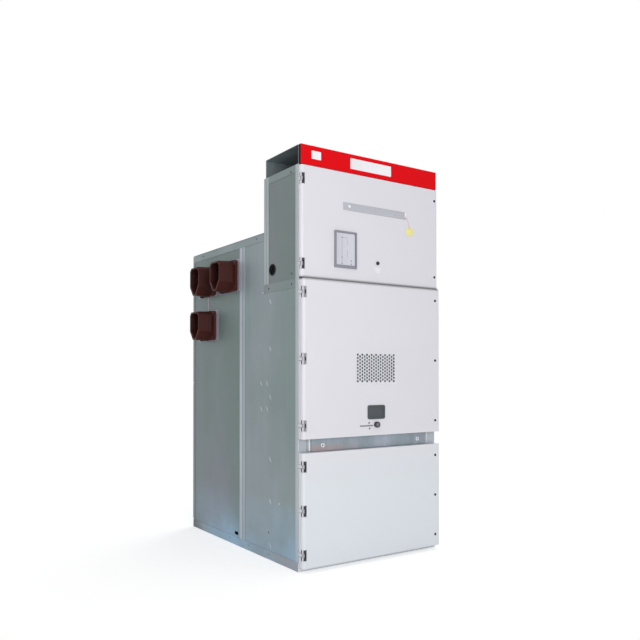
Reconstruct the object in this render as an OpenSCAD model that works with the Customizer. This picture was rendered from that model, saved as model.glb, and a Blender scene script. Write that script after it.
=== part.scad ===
// Withdrawable switchgear cubicle: a free-standing sheet-metal cabinet with an
// instrument compartment on top of its front, three hinged front doors, a small-bus
// hood with a coloured fascia, and three epoxy busbar bushings in its left side.
// The origin is on the floor, at the centre of the base frame. +Z is up, the doors
// face -Y, and +X is to the right of someone who stands in front of them.

/* [Cabinet] */
// Width of the cabinet
width = 1000; // [850:10:1200]
// Depth of the cabinet without its doors
depth = 1365; // [1200:5:1660]
// Height to the top of the hood
height = 2300; // [2100:10:2760]
// Depth of the rear bay, from the seam to the back of the rear covers
rear_bay = 735; // [640:5:850]
// Height of the hood over the instrument compartment
hood_h = 105; // [90:1:130]
// Height of the instrument compartment over the main roof
box_rise = 311; // [260:1:380]
// How far the instrument compartment's sill lies below the main roof
box_drop = 354; // [300:1:420]
// Depth of the instrument compartment
box_depth = 364; // [330:1:430]
// Depth of the hood
hood_depth = 346; // [280:1:360]
// Thickness of the folded sheet
sheet = 2; // [1.6:0.1:2.5]

/* [Frame] */
// Height of the base frame
base_h = 50; // [42:1:60]
// Thickness of the base frame's channel
base_t = 3; // [2.5:0.5:4]
// Width of the base frame's bottom flange
base_flange = 60; // [50:1:80]
// Radius of the anchor holes
anchor_r = 7; // [6:0.5:9]
// Distance from an anchor hole to the cabinet's side
anchor_inset_x = 35; // [30:1:42]
// Distance from an anchor hole to the cabinet's front or rear
anchor_inset_y = 70; // [62:1:90]
// Width of the front posts' face
post_w = 58; // [50:1:70]
// Depth of the posts' sides
post_d = 26; // [22:1:32]
// Width of each flange along the seam
seam_w = 33; // [28:1:40]
// Height of the top rails
rail_h = 45; // [36:1:52]
// Outer radius of a sheet bend
bend_r = 4; // [3:0.5:5]
// Radius of the holes that couple cabinets in a row
coupling_r = 5.5; // [4:0.5:6.5]
// Distance between the coupling holes in the base
coupling_pitch = 243; // [200:1:288]

/* [Doors] */
// Clear height under the lower door
door_floor_gap = 24; // [10:1:30]
// Top of the lower door
lower_door_top = 639; // [530:1:760]
// Clear height between the lower and middle doors, where the beam shows
beam_gap = 74; // [60:1:90]
// Gap between the middle and upper doors
door_gap = 10; // [8:1:14]
// Gap between the upper door and the fascia
fascia_gap = 6; // [5:0.5:9]
// How far the lower and middle doors stand proud of the frame
door_proud = 48; // [44:0.1:58]
// How far the upper door stands proud of the frame
upper_proud = 30; // [28:1:36]
// How far the fascia stands proud of the frame
fascia_proud = 20; // [16:1:26]
// Radius of the doors' rounded upright edges
door_r = 18; // [12:1:20]
// Running gap between the doors' returns and the frame
return_gap = 6; // [5.5:0.5:8]
// Width of the lips along the doors' returns
lip_w = 12; // [8:1:16]

/* [Hinges] */
// Distance from a door's edge and face to its hinge axis
hinge_inset = 9; // [8:0.5:11]
// Radius of the hinge barrels
barrel_r = 7.5; // [6:0.5:8]
// Radius of the hinge pins
pin_r = 4; // [3:0.5:5]
// Radial running clearance on a hinge pin
pin_clearance = 0.1; // [0.05:0.01:0.1]
// Height of a whole hinge
hinge_h = 57; // [50:1:66]
// Height of a hinge's middle knuckle
knuckle_h = 19; // [14:1:24]
// Distance from a door's end to the middle of its end hinges
hinge_end = 72; // [60:1:90]

/* [Busbar bushings] */
// Width of a bushing at its mouth
bushing_w = 140; // [116:1:168]
// Height of a bushing at its mouth
bushing_h = 184; // [160:1:220]
// How far a bushing stands out of the side
bushing_out = 103; // [86:1:124]
// Wall of a bushing
bushing_wall = 11; // [8:1:14]
// Distance between the bushings from front to back
bushing_pitch_y = 302; // [296:1:320]
// Distance between the bushings from top to bottom
bushing_pitch_z = 294; // [270:1:340]
// How far a bushing's flange reaches past the bushing at each side
bushing_ear = 48; // [40:1:56]
// How far a bushing's plate reaches past the bushing at each side
bushing_margin = 74; // [62:1:84]
// Distance from the top bushings to the main roof
bushing_drop = 209; // [180:1:250]

/* [Front fittings] */
// Width of the ventilated field in the middle door
vent_w = 300; // [270:1:340]
// Height of the ventilated field
vent_h = 190; // [165:1:210]
// Distance between the vent holes in a column
vent_pitch = 18.6; // [16:0.1:20]
// Distance between the columns of vent holes
vent_column = 16.5; // [15.5:0.1:17.5]
// Radius of the vent holes
vent_r = 7; // [5:0.5:7.5]
// Height of the vents' centre over the middle door's bottom
vent_z = 383; // [320:1:420]
// Width of the window
window_w = 126; // [105:1:150]
// Height of the window
window_h = 80; // [66:1:96]
// Height of the window's centre over the middle door's bottom
window_z = 132; // [120:1:150]
// Width of the status indicator
indicator_w = 150; // [125:1:180]
// Height of the status indicator
indicator_h = 204; // [180:1:240]
// Width of the label strip
strip_w = 460; // [380:1:550]
// Height of the label strip
strip_h = 42; // [35:1:50]
// Radius of the docking bushes' bores
dock_r = 5.5; // [4:0.5:7]
// Distance from a docking bush to the cabinet's side
dock_inset = 153; // [120:1:180]
// Radius of the control cable grommets' bores
grommet_r = 23; // [19:1:27]

/* [Hidden] */

$fn = 48;

half_w = width / 2;
front = -depth / 2;
back = depth / 2;
cover_d = 18;
frame_back = back - cover_d;
seam = back - rear_bay;
box_top = height - hood_h;
body_h = box_top - box_rise;
box_sill = body_h - box_drop;
box_back = front + box_depth;
skin = half_w - sheet;
inner = half_w - 2 * sheet;

// Heights of the doors and of what lies behind their gaps
fascia_bottom = box_top - 3;
middle_door_bottom = lower_door_top + beam_gap;
middle_door_top = box_sill + 44;
upper_door_bottom = middle_door_top + door_gap;
upper_door_top = fascia_bottom - fascia_gap;
sill_z = middle_door_top - 14;
beam_bottom = lower_door_top - 6;
beam_top = middle_door_bottom + 6;
beam_proud = 9;
beam_d = 40;
header_h = 50;

// Top of the side panels, behind the top rails
rail_w = 40;
panel_top = body_h - sheet - bend_r - 2;

// The instrument compartment's side walls: borders, cable hole and coupling holes
box_border = 40;
box_strip = 52;
box_seam = 23;
grommet_y = front + 271;
grommet_z = box_sill + 126;
grommet_wall = 4;
grommet_lip = 6;
box_holes = [
    [72, box_top - 29],
    [67, box_sill + 80],
    [64, box_sill + 22],
    [311, box_sill + 21]
];

// Colours
galvanised = [0.62, 0.66, 0.67];
zinc = [0.82, 0.83, 0.84];
door_grey = [0.87, 0.87, 0.88];
red_paint = [0.84, 0.05, 0.1];
epoxy = [0.25, 0.09, 0.07];
black = [0.08, 0.08, 0.08];
pane_grey = [0.3, 0.33, 0.33];
tag_yellow = [0.95, 0.9, 0.45];
string_pink = [0.9, 0.5, 0.5];

// ---- Shared shapes ----

// A block between two opposite corners
module block(low, high) {
    translate(low) cube(high - low);
}

// The same piece on the left and on the right
module both_sides() {
    children();
    mirror([1, 0, 0]) children();
}

// A rectangle with round corners, centred
module round_rect(w, h, r) {
    square([w - 2 * r, h], center = true);
    square([w, h - 2 * r], center = true);
    for (x = [-1, 1], y = [-1, 1])
        translate([x * (w / 2 - r), y * (h / 2 - r)]) circle(r);
}

// A sheet folded once: a leg along +X and a leg along +Y, with a round outer bend
module angle_profile(leg_x, leg_y, t = sheet) {
    difference() {
        union() {
            translate([bend_r, 0]) square([leg_x - bend_r, t]);
            translate([0, bend_r]) square([t, leg_y - bend_r]);
            intersection() {
                translate([bend_r, bend_r]) circle(bend_r);
                square(bend_r);
            }
        }
        translate([bend_r, bend_r]) circle(bend_r - t);
    }
}

// A channel that opens to +Y: a web along X and two legs
module channel_profile(w, legs, t = sheet) {
    difference() {
        union() {
            translate([bend_r, 0]) square([w - 2 * bend_r, legs]);
            translate([0, bend_r]) square([w, legs - bend_r]);
            for (x = [bend_r, w - bend_r]) translate([x, bend_r]) circle(bend_r);
        }
        translate([bend_r, t]) square([w - 2 * bend_r, legs]);
        translate([t, bend_r]) square([w - 2 * t, legs]);
        for (x = [bend_r, w - bend_r]) translate([x, bend_r]) circle(bend_r - t);
    }
}

// An upright piece with a flat plan: profile in X and Y, from z0 to z1
module upright(z0, z1) {
    translate([0, 0, z0]) linear_extrude(z1 - z0) children();
}

// A piece with a constant section along Y: profile in X and Z
module along_y(y0, y1) {
    translate([0, y1, 0]) rotate([90, 0, 0]) linear_extrude(y1 - y0) children();
}

// A piece with a constant section along X: profile in Y and Z
module along_x(x0, x1) {
    translate([x0, 0, 0]) rotate([90, 0, 90]) linear_extrude(x1 - x0) children();
}

// A round cutter or rod along Y, centred on a place
module rod_y(x, z, r, y0, y1) {
    translate([x, y1, z]) rotate([90, 0, 0]) cylinder(h = y1 - y0, r = r);
}

// A round cutter or rod along X
module rod_x(y, z, r, x0, x1) {
    translate([x0, y, z]) rotate([0, 90, 0]) cylinder(h = x1 - x0, r = r);
}

// ---- Base, posts and rails ----

// One base rail's section in its own plane: web outside, flanges inwards
module base_rail_profile(top_flange = 50) {
    square([base_t, base_h]);
    square([base_flange, base_t]);
    translate([0, base_h - base_t]) square([top_flange, base_t]);
}

module base_frame() {
    color(galvanised) difference() {
        union() {
            both_sides() translate([-half_w, 0, 0])
                along_y(front, frame_back) base_rail_profile();
            translate([0, front, 0]) along_x(-half_w, half_w) base_rail_profile();
            translate([0, frame_back, 0]) mirror([0, 1, 0])
                along_x(-half_w, half_w) base_rail_profile();
        }
        for (x = [-1, 1], y = [-1, 1])
            translate([x * (half_w - anchor_inset_x), y * (back - anchor_inset_y), -1])
                cylinder(h = base_h / 2, r = anchor_r);
        for (i = [0, 1, 2])
            rod_x(front + 308 + i * coupling_pitch, base_h - 18, coupling_r,
                  -half_w - 1, half_w + 1);
    }
}

module front_posts() {
    color(galvanised) both_sides() upright(base_h, box_top)
        translate([-half_w, front]) channel_profile(post_w, post_d);
}

// Two folded flanges bolted back to back along the seam of each side
module mid_posts() {
    color(galvanised) both_sides() upright(base_h, body_h - rail_h - sheet) {
        translate([-half_w, seam]) angle_profile(40, seam_w);
        translate([-half_w, seam]) mirror([0, 1]) angle_profile(40, seam_w);
    }
}

module rear_posts() {
    color(galvanised) both_sides() upright(base_h, body_h - rail_h - sheet)
        translate([-half_w, frame_back]) mirror([0, 1]) angle_profile(40, post_d);
}

// Folded rails that carry the roof, on both sides and along the rear
module top_rails() {
    z = body_h - sheet;
    color(galvanised) union() {
        both_sides() translate([-half_w, 0, z]) mirror([0, 0, 1])
            along_y(box_back, frame_back) angle_profile(rail_w, rail_h);
        translate([0, frame_back, z]) mirror([0, 1, 0]) mirror([0, 0, 1])
            along_x(-half_w, half_w) angle_profile(rail_w, rail_h);
    }
}

// ---- Side walls ----

// The front half of a side wall, which steps down in front of the instrument box
module front_panel() {
    difference() {
        union() {
            block([-skin, front + bend_r + 1, base_h], [-inner, seam - bend_r, box_sill]);
            block([-skin, box_back, box_sill - 1], [-inner, seam - bend_r, panel_top]);
        }
        rod_x(seam - 316, base_h + 102, coupling_r, -half_w, -inner + 1);
    }
}

// The rear half of a side wall, with an oblong hole beside the seam
module rear_panel() {
    difference() {
        block([-skin, seam + bend_r, base_h], [-inner, frame_back - bend_r, panel_top]);
        for (y = [-15, 15]) rod_x(seam + 78 + y, base_h + 24, 10, -half_w, -inner + 1);
        block([-half_w, seam + 63, base_h + 14], [-inner + 1, seam + 93, base_h + 34]);
    }
}

module left_front_panel() {
    color(galvanised) front_panel();
}

module right_front_panel() {
    color(galvanised) mirror([1, 0, 0]) front_panel();
}

module left_rear_panel() {
    color(galvanised) difference() {
        rear_panel();
        for (place = bushing_places) at_bushing(place)
            translate([0, 0, -10]) linear_extrude(30) bushing_outline(-bushing_wall);
    }
}

module right_rear_panel() {
    color(galvanised) mirror([1, 0, 0]) rear_panel();
}

// ---- Roof, rear covers and floor ----

// Centre and size of each pressure relief opening in the roof, along Y
relief_w = width - 260;
relief_lap = 15;
relief_y = [
    [box_back + 40, seam - 44],
    [seam + 60, (seam + frame_back) / 2 - 20],
    [(seam + frame_back) / 2 + 20, frame_back - 70]
];

module roof_sheet() {
    color(galvanised) difference() {
        block([-half_w, box_back, body_h - sheet], [half_w, frame_back, body_h]);
        for (y = relief_y)
            block([-relief_w / 2, y[0], body_h - 5], [relief_w / 2, y[1], body_h + 1]);
    }
}

module relief_flaps() {
    color(galvanised) for (y = relief_y)
        block([-relief_w / 2 - relief_lap, y[0] - relief_lap, body_h],
              [relief_w / 2 + relief_lap, y[1] + relief_lap, body_h + sheet]);
}

// A folded rear cover: a face with a return along each edge
module rear_cover(z0, z1) {
    x = half_w - 5;
    difference() {
        block([-x, frame_back, z0], [x, back, z1]);
        block([-x + sheet, frame_back - 1, z0 + sheet], [x - sheet, back - sheet, z1 - sheet]);
    }
}

cover_split = base_h + 950;

module rear_cover_lower() {
    color(galvanised) rear_cover(base_h + 6, cover_split - 2);
}

module rear_cover_upper() {
    color(galvanised) rear_cover(cover_split + 2, body_h - 6);
}

module floor_plates() {
    x = half_w - 42;
    color(galvanised) {
        block([-x, front + post_d + 6, base_h], [x, seam - 3, base_h + sheet]);
        block([-x, seam + 3, base_h], [x, frame_back - post_d - 6, base_h + sheet]);
    }
}

// ---- Breaker compartment ----

module breaker_floor() {
    color(galvanised)
        block([-inner, front + post_d, beam_top], [inner, seam - 2 * sheet, beam_top + sheet]);
}

// Folded runways for the withdrawable truck
module guide_rails() {
    x = half_w - post_w - 50;
    color(zinc) both_sides() translate([-x, 0, beam_top + sheet])
        along_y(front + post_d + 6, seam - 2 * sheet - 6) angle_profile(40, 32);
}

module rear_partition() {
    color(galvanised)
        block([-inner, seam - 2 * sheet, beam_top], [inner, seam - sheet, body_h - 2 * sheet]);
}

// Metal shutters in front of the fixed contacts
module shutters() {
    x = half_w - post_w - 110;
    y = seam - 2 * sheet;
    color(zinc) for (z = [beam_top + 150, beam_top + 450])
        difference() {
            block([-x, y - 16, z], [x, y, z + 240]);
            block([-x - 1, y - 16 + sheet, z + sheet], [x + 1, y + 1, z + 240 - sheet]);
        }
}

// ---- Instrument compartment and hood ----

module instrument_wall() {
    z0 = box_sill;
    difference() {
        union() {
            block([-skin, front + bend_r + 1, z0], [-inner, box_back, box_top]);
            block([-half_w, front + post_d, z0], [-skin, box_back, z0 + 48]);
            block([-half_w, front + post_d, box_top - box_border], [-skin, box_back, box_top]);
            block([-half_w, box_back - box_strip, z0], [-skin, box_back, box_top]);
        }
        block([-half_w - 1, box_back - box_seam - 3, z0 - 1],
              [-skin, box_back - box_seam, box_top + 1]);
        rod_x(grommet_y, grommet_z, grommet_r + grommet_wall + 0.2, -half_w - 1, -inner + 1);
        for (hole = box_holes)
            rod_x(front + hole[0], hole[1], coupling_r, -half_w - 1, -inner + 1);
    }
}

module instrument_walls() {
    color(galvanised) both_sides() instrument_wall();
}

// Floor of the instrument compartment, with a front flange behind the door gap
module instrument_floor() {
    x = half_w - post_w;
    color(galvanised) {
        block([-inner, front + post_d, sill_z], [inner, box_back - sheet, sill_z + sheet]);
        block([-x, front, sill_z], [x, front + post_d, sill_z + sheet]);
        block([-x, front, sill_z - 20], [x, front + sheet, sill_z + 34]);
    }
}

// Back and top of the instrument compartment, folded from one sheet
module instrument_shell() {
    x = half_w - post_w;
    color(galvanised) {
        translate([0, box_back, box_top]) mirror([0, 1, 0]) mirror([0, 0, 1])
            along_x(-inner, inner) angle_profile(box_depth - post_d, box_top - sill_z);
        block([-x, front, box_top - sheet], [x, front + post_d, box_top]);
        block([-x, front, box_top - header_h], [x, front + sheet, box_top]);
    }
}

module cable_grommets() {
    color(black) both_sides() difference() {
        union() {
            rod_x(grommet_y, grommet_z, grommet_r + grommet_wall + grommet_lip,
                  -skin - 3.5, -skin);
            rod_x(grommet_y, grommet_z, grommet_r + grommet_wall, -skin - 1, -inner + 3);
        }
        rod_x(grommet_y, grommet_z, grommet_r, -half_w - 9, -inner + 9);
    }
}

// A folded cover, open at both ends so that small busbars run on to the next cabinet
module bus_hood() {
    color(galvanised) translate([0, 0, height]) mirror([0, 0, 1]) along_x(-half_w + 2, half_w - 2)
        translate([front, 0]) channel_profile(hood_depth, hood_h);
}

module fascia() {
    x = half_w - 5;
    y = front - fascia_proud;
    color(red_paint) difference() {
        block([-x, y, fascia_bottom], [x, front, height]);
        block([-x - 1, y + sheet, fascia_bottom + sheet], [x + 1, front + 1, height - sheet]);
    }
}

// ---- Beam for the transfer truck ----

dock_z = (lower_door_top + middle_door_bottom) / 2 - 4;
dock_flange = 5;
dock_rim = 5.5;
dock_y = front - beam_proud;

// A channel between the posts, with a raised face between the doors
module docking_beam() {
    x = half_w - post_w;
    face_x = x - 23;
    z0 = lower_door_top + 3;
    z1 = middle_door_bottom - 3;
    color(galvanised) difference() {
        union() {
            along_x(-x, x) translate([front, beam_top]) rotate(-90)
                channel_profile(beam_top - beam_bottom, beam_d);
            block([-face_x, dock_y, z0], [face_x, front + 1, z1]);
        }
        block([-face_x + sheet, dock_y + sheet, z0 + sheet],
              [face_x - sheet, front + 9, z1 - sheet]);
        for (side = [-1, 1])
            rod_y(side * (half_w - dock_inset), dock_z, dock_r + 2, dock_y - 1, dock_y + 5);
    }
}

module docking_bushes() {
    color(zinc) for (side = [-1, 1]) difference() {
        rod_y(side * (half_w - dock_inset), dock_z, dock_r + dock_rim,
              dock_y - dock_flange, dock_y);
        rod_y(side * (half_w - dock_inset), dock_z, dock_r, dock_y - 20, dock_y + 20);
    }
}

// ---- Busbar bushings ----

// Places of the bushings, along Y and Z: the front plate lies beside the seam's flange
bushing_plate_w = bushing_w + 2 * bushing_margin;
bushing_y = seam + seam_w + 1 + bushing_plate_w / 2;
bushing_rear_y = bushing_y + max(bushing_pitch_y, bushing_plate_w + 8);
bushing_places = [
    [bushing_y, body_h - bushing_drop],
    [bushing_rear_y, body_h - bushing_drop],
    [bushing_rear_y, body_h - bushing_drop - bushing_pitch_z]
];
bushing_plate_t = 4;
bushing_plate_h = bushing_h + 16;
bushing_flange_t = 11;
bushing_draft = 4;

// Puts a shape drawn in Y and Z on the left side, with its own +Z pointing out
module at_bushing(place) {
    translate([-skin, place[0], place[1]]) rotate([90, 0, -90]) children();
}

// Outline of a bushing: an upright rectangle with its corners cut, grown by g
module bushing_outline(g = 0) {
    w = bushing_w / 2 + g;
    h = bushing_h / 2 + g;
    top = 20;
    low = 58;
    polygon([
        [-w, -h + low], [-w + 0.78 * low, -h], [w - 0.78 * low, -h], [w, -h + low],
        [w, h - top], [w - top, h], [-w + top, h], [-w, h - top]
    ]);
}

// Outline of a bushing's flange, whose ears are bolted to the plate
module flange_outline() {
    w = bushing_w / 2 + bushing_ear;
    h = bushing_h / 2 + 5;
    cut = 12;
    polygon([
        [-w, -h + cut], [-w + cut, -h], [w - cut, -h], [w, -h + cut],
        [w, h - cut], [w - cut, h], [-w + cut, h], [-w, h - cut]
    ]);
}

module bushing(place) {
    out = bushing_out + sheet - bushing_plate_t;
    color(epoxy) at_bushing(place) translate([0, 0, bushing_plate_t]) difference() {
        union() {
            linear_extrude(bushing_flange_t) flange_outline();
            hull() {
                translate([0, 0, bushing_flange_t - 1]) linear_extrude(1)
                    bushing_outline(bushing_draft);
                translate([0, 0, out - 1]) linear_extrude(1) bushing_outline();
            }
        }
        translate([0, 0, -1]) linear_extrude(out + 2) bushing_outline(-bushing_wall);
    }
}

// Non-magnetic plates between the bushings and the side wall, and the strip that
// joins the two rear ones
module bushing_plates() {
    y = bushing_places[1][0];
    reach = bushing_plate_h / 2 - 1;
    color(zinc) difference() {
        union() {
            for (place = bushing_places) at_bushing(place)
                linear_extrude(bushing_plate_t)
                    square([bushing_plate_w, bushing_plate_h], center = true);
            block([-skin - 2, y - 6, bushing_places[2][1] + reach],
                  [-skin, y + 6, bushing_places[1][1] - reach]);
        }
        for (place = bushing_places) at_bushing(place)
            translate([0, 0, -1]) linear_extrude(bushing_plate_t + 2)
                bushing_outline(-bushing_wall);
    }
}

module bushings() {
    for (place = bushing_places) bushing(place);
}

// ---- Hinges ----

hinge_x = -half_w + hinge_inset;
axial_gap = 0.5;
notch_w = 24;
notch_h = hinge_h + 6;
arm_t = 8;

// Heights of the hinges on a door
function two_hinges(z0, z1) = [z0 + hinge_end, z1 - hinge_end];
function three_hinges(z0, z1) = [z0 + hinge_end, (z0 + z1) / 2, z1 - hinge_end];

upper_hinges = two_hinges(upper_door_bottom, upper_door_top);
middle_hinges = three_hinges(middle_door_bottom, middle_door_top);
lower_hinges = three_hinges(door_floor_gap, lower_door_top);

// The frame's half of a hinge: foot, arm, middle knuckle and pin
module hinge_bracket(proud, z) {
    y = front - proud + hinge_inset;
    translate([hinge_x, y, z]) {
        cylinder(h = knuckle_h, r = barrel_r, center = true);
        cylinder(h = hinge_h, r = pin_r, center = true);
        translate([-arm_t / 2, 0, -knuckle_h / 2])
            cube([arm_t, front - y, knuckle_h]);
    }
    block([-half_w + 2, front - 2, z - hinge_h / 2], [-half_w + 26, front, z + hinge_h / 2]);
}

module hinge_brackets() {
    color(zinc) {
        for (z = upper_hinges) hinge_bracket(upper_proud, z);
        for (z = middle_hinges) hinge_bracket(door_proud, z);
        for (z = lower_hinges) hinge_bracket(door_proud, z);
    }
}

// The door's half of a hinge: two knuckles on a leaf behind the door's face
module hinge_leaf(proud, z) {
    y = front - proud + hinge_inset;
    leaf_y = front - proud + sheet;
    end_h = (hinge_h - knuckle_h) / 2 - axial_gap;
    difference() {
        union() {
            for (side = [-1, 1]) translate([hinge_x, y, z + side * (knuckle_h / 2 + axial_gap)])
                mirror([0, 0, side < 0 ? 1 : 0]) cylinder(h = end_h, r = barrel_r);
            block([hinge_x, leaf_y, z - hinge_h / 2], [hinge_x + 48, leaf_y + 3, z + hinge_h / 2]);
        }
        translate([hinge_x, y, z]) cylinder(h = hinge_h + 2, r = pin_r + pin_clearance, center = true);
        block([hinge_x - 20, leaf_y - 5, z - knuckle_h / 2 - axial_gap],
              [hinge_x + barrel_r + 6, leaf_y + 30, z + knuckle_h / 2 + axial_gap]);
    }
}

// ---- Doors ----

// Plan of a door: its front corners are round
module door_plan(proud, inset = 0) {
    w = half_w - inset;
    y0 = front - proud + inset;
    y1 = front - return_gap + (inset > 0 ? 1 : 0);
    r = door_r - inset;
    translate([-w, y0 + r]) square([2 * w, y1 - y0 - r]);
    translate([-w + r, y0]) square([2 * w - 2 * r, y1 - y0]);
    intersection() {
        for (x = [-1, 1]) translate([x * (w - r), y0 + r]) circle(r);
        translate([-w, y0]) square([2 * w, r]);
    }
}

// A folded door with lips round its open back and a hat stiffener near each end
module door_tray(proud, z0, z1, hinges) {
    lip_y = front - return_gap - sheet;
    x = half_w - sheet;
    hat_y = front - proud + sheet;
    hat_d = proud - return_gap - 2 * sheet - 4;
    difference() {
        union() {
            difference() {
                upright(z0, z1) door_plan(proud);
                upright(z0 + sheet, z1 - sheet) door_plan(proud, sheet);
            }
            difference() {
                block([-x, lip_y, z0 + 1], [x, lip_y + sheet, z1 - 1]);
                block([-x + lip_w, lip_y - 1, z0 + sheet + lip_w],
                      [x - lip_w, lip_y + 9, z1 - sheet - lip_w]);
            }
            for (side = [-1, 1]) translate([side * (half_w - 140), hat_y, 0])
                difference() {
                    block([-25, 0, z0 + 40], [25, hat_d, z1 - 40]);
                    block([-25 + sheet, -1, z0 + 39], [25 - sheet, hat_d - sheet, z1 - 39]);
                }
        }
        for (z = hinges) {
            block([-half_w - 1, front - proud - 1, z - notch_h / 2],
                  [-half_w + notch_w, front - proud + 2 * hinge_inset + 2, z + notch_h / 2]);
            block([-half_w - 1, front - proud - 1, z - knuckle_h / 2 - 2],
                  [-half_w + notch_w, front, z + knuckle_h / 2 + 2]);
        }
    }
}

module upper_door() {
    color(door_grey)
        door_tray(upper_proud, upper_door_bottom, upper_door_top, upper_hinges);
}

module middle_door() {
    y = front - door_proud;
    color(door_grey) difference() {
        door_tray(door_proud, middle_door_bottom, middle_door_top, middle_hinges);
        block([-vent_w / 2, y - 1, vent_mid - vent_h / 2],
              [vent_w / 2, y + sheet + 1, vent_mid + vent_h / 2]);
        along_y(y - 1, y + sheet + 1) translate([0, window_mid])
            round_rect(window_w - 2 * window_rim, window_h - 2 * window_rim, window_corner);
    }
}

module lower_door() {
    color(door_grey)
        door_tray(door_proud, door_floor_gap, lower_door_top, lower_hinges);
}

module upper_door_hinges() {
    color(black) for (z = upper_hinges) hinge_leaf(upper_proud, z);
}

module middle_door_hinges() {
    color(black) for (z = middle_hinges) hinge_leaf(door_proud, z);
}

module lower_door_hinges() {
    color(black) for (z = lower_hinges) hinge_leaf(door_proud, z);
}

// ---- Middle door fittings ----

vent_mid = middle_door_bottom + vent_z;
window_mid = middle_door_bottom + window_z;
window_rim = 9;
window_corner = 8;
knob_z = middle_door_bottom + 61;

// Vent holes in staggered columns: nine holes in one, eight in the next
module vent_grille() {
    y = front - door_proud;
    color(door_grey) difference() {
        block([-vent_w / 2, y, vent_mid - vent_h / 2], [vent_w / 2, y + sheet, vent_mid + vent_h / 2]);
        for (i = [-8:8]) {
            rows = 9 - abs(i) % 2;
            for (j = [0:rows - 1])
                rod_y(i * vent_column, vent_mid + (j - (rows - 1) / 2) * vent_pitch, vent_r,
                      y - 1, y + sheet + 1);
        }
    }
}

// A folded sheet behind the vents that turns back whatever is poked through them
module vent_baffle() {
    y = front - door_proud + sheet;
    d = 16;
    color(galvanised) difference() {
        block([-vent_w / 2 - 6, y, vent_mid - vent_h / 2 - 6],
              [vent_w / 2 + 6, y + d, vent_mid + vent_h / 2 + 6]);
        block([-vent_w / 2 - 4, y - 1, vent_mid - vent_h / 2 - 9],
              [vent_w / 2 + 4, y + d - sheet, vent_mid + vent_h / 2 + 9]);
    }
}

module window_frame() {
    y = front - door_proud;
    color(black) along_y(y - 4, y) translate([0, window_mid]) difference() {
        round_rect(window_w, window_h, window_corner + 4);
        round_rect(window_w - 2 * window_rim - 2, window_h - 2 * window_rim - 2, window_corner - 1);
    }
}

module window_pane() {
    y = front - door_proud + sheet;
    color(pane_grey) along_y(y, y + 3) translate([0, window_mid])
        round_rect(window_w, window_h, window_corner);
}

// Knob of the door's bolt work
module door_knob() {
    color(black) translate([0, front - door_proud, knob_z]) rotate([90, 0, 0])
        rotate_extrude() polygon([[0, 0], [17, 0], [17, 2], [13, 4], [13, 16], [11, 18], [0, 18]]);
}

// ---- Upper door fittings ----

upper_face = front - upper_proud;
indicator_x = -207;
indicator_z = upper_door_bottom + 170;
strip_x = 10;
strip_z = upper_door_top - 188;

module label_strip() {
    color(zinc) block([strip_x - strip_w / 2, upper_face - 3, strip_z - strip_h / 2],
                      [strip_x + strip_w / 2, upper_face, strip_z + strip_h / 2]);
}

// Housing of the status indicator: a rim round a sunk face
module status_indicator() {
    rim = 9;
    d = 12;
    color(black) translate([indicator_x, upper_face, indicator_z]) difference() {
        block([-indicator_w / 2, -d, -indicator_h / 2], [indicator_w / 2, 0, indicator_h / 2]);
        block([-indicator_w / 2 + rim, -d - 1, -indicator_h / 2 + rim],
              [indicator_w / 2 - rim, -d + 6, indicator_h / 2 - rim]);
    }
}

module door_lock() {
    color(black) translate([26, upper_face, upper_door_bottom + 115]) rotate([90, 0, 0])
        rotate_extrude() polygon([[0, 0], [11, 0], [11, 3], [9, 5], [9, 7], [0, 7]]);
}

// A tag on a short string, tied to the right end of the label strip. The route's
// points are offsets in X and Z from the middle of the strip's right edge.
string_r = 1;
string_y = upper_face - 3 - string_r - 0.3;
string_offsets = [
    [-2, 14], [-1, 8], [0.6, 2], [2.6, -4], [4.8, -10], [7.2, -16], [9.8, -22], [12.5, -28],
    [15.2, -34], [17.8, -40], [20.2, -46], [22.4, -52], [24.2, -58], [25.6, -64], [26.6, -70]
];
string_route = [for (p = string_offsets)
    [strip_x + strip_w / 2 + p[0], string_y, strip_z + p[1]]];
tag_r = 26;
tag_t = 1.5;
tag_x = strip_x + strip_w / 2 + 28;
tag_z = strip_z - 65 - tag_r;
tag_y = string_y + string_r + 0.2;

// Sweeps a round tube with flat ends along points that lie in one upright plane
module tube(points, r, sides = 8) {
    n = len(points);
    rings = [for (i = [0:n - 1]) let (
        a = points[max(i - 1, 0)],
        b = points[min(i + 1, n - 1)],
        slope = atan2(b[2] - a[2], b[0] - a[0])
    ) [for (k = [0:sides - 1]) let (t = 360 * k / sides)
        points[i] + r * [-sin(slope) * cos(t), sin(t), cos(slope) * cos(t)]]];
    polyhedron(
        points = [for (ring = rings) each ring],
        faces = concat(
            [[for (k = [0:sides - 1]) k]],
            [for (i = [0:n - 2], k = [0:sides - 1])
                [i * sides + k, (i + 1) * sides + k,
                 (i + 1) * sides + (k + 1) % sides, i * sides + (k + 1) % sides]],
            [[for (k = [sides - 1:-1:0]) (n - 1) * sides + k]]
        )
    );
}

module tag_string() {
    color(string_pink) tube(string_route, string_r);
}

module tag() {
    color(tag_yellow) rod_y(tag_x, tag_z, tag_r, tag_y, tag_y + tag_t);
}

base_frame();
front_posts();
mid_posts();
rear_posts();
top_rails();
left_front_panel();
left_rear_panel();
right_front_panel();
right_rear_panel();
roof_sheet();
relief_flaps();
rear_cover_lower();
rear_cover_upper();
floor_plates();
breaker_floor();
guide_rails();
rear_partition();
shutters();
instrument_walls();
instrument_floor();
instrument_shell();
cable_grommets();
bus_hood();
fascia();
docking_beam();
docking_bushes();
bushing_plates();
bushings();
hinge_brackets();
upper_door();
upper_door_hinges();
label_strip();
status_indicator();
door_lock();
tag_string();
tag();
middle_door();
middle_door_hinges();
vent_grille();
vent_baffle();
window_frame();
window_pane();
door_knob();
lower_door();
lower_door_hinges();
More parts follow.
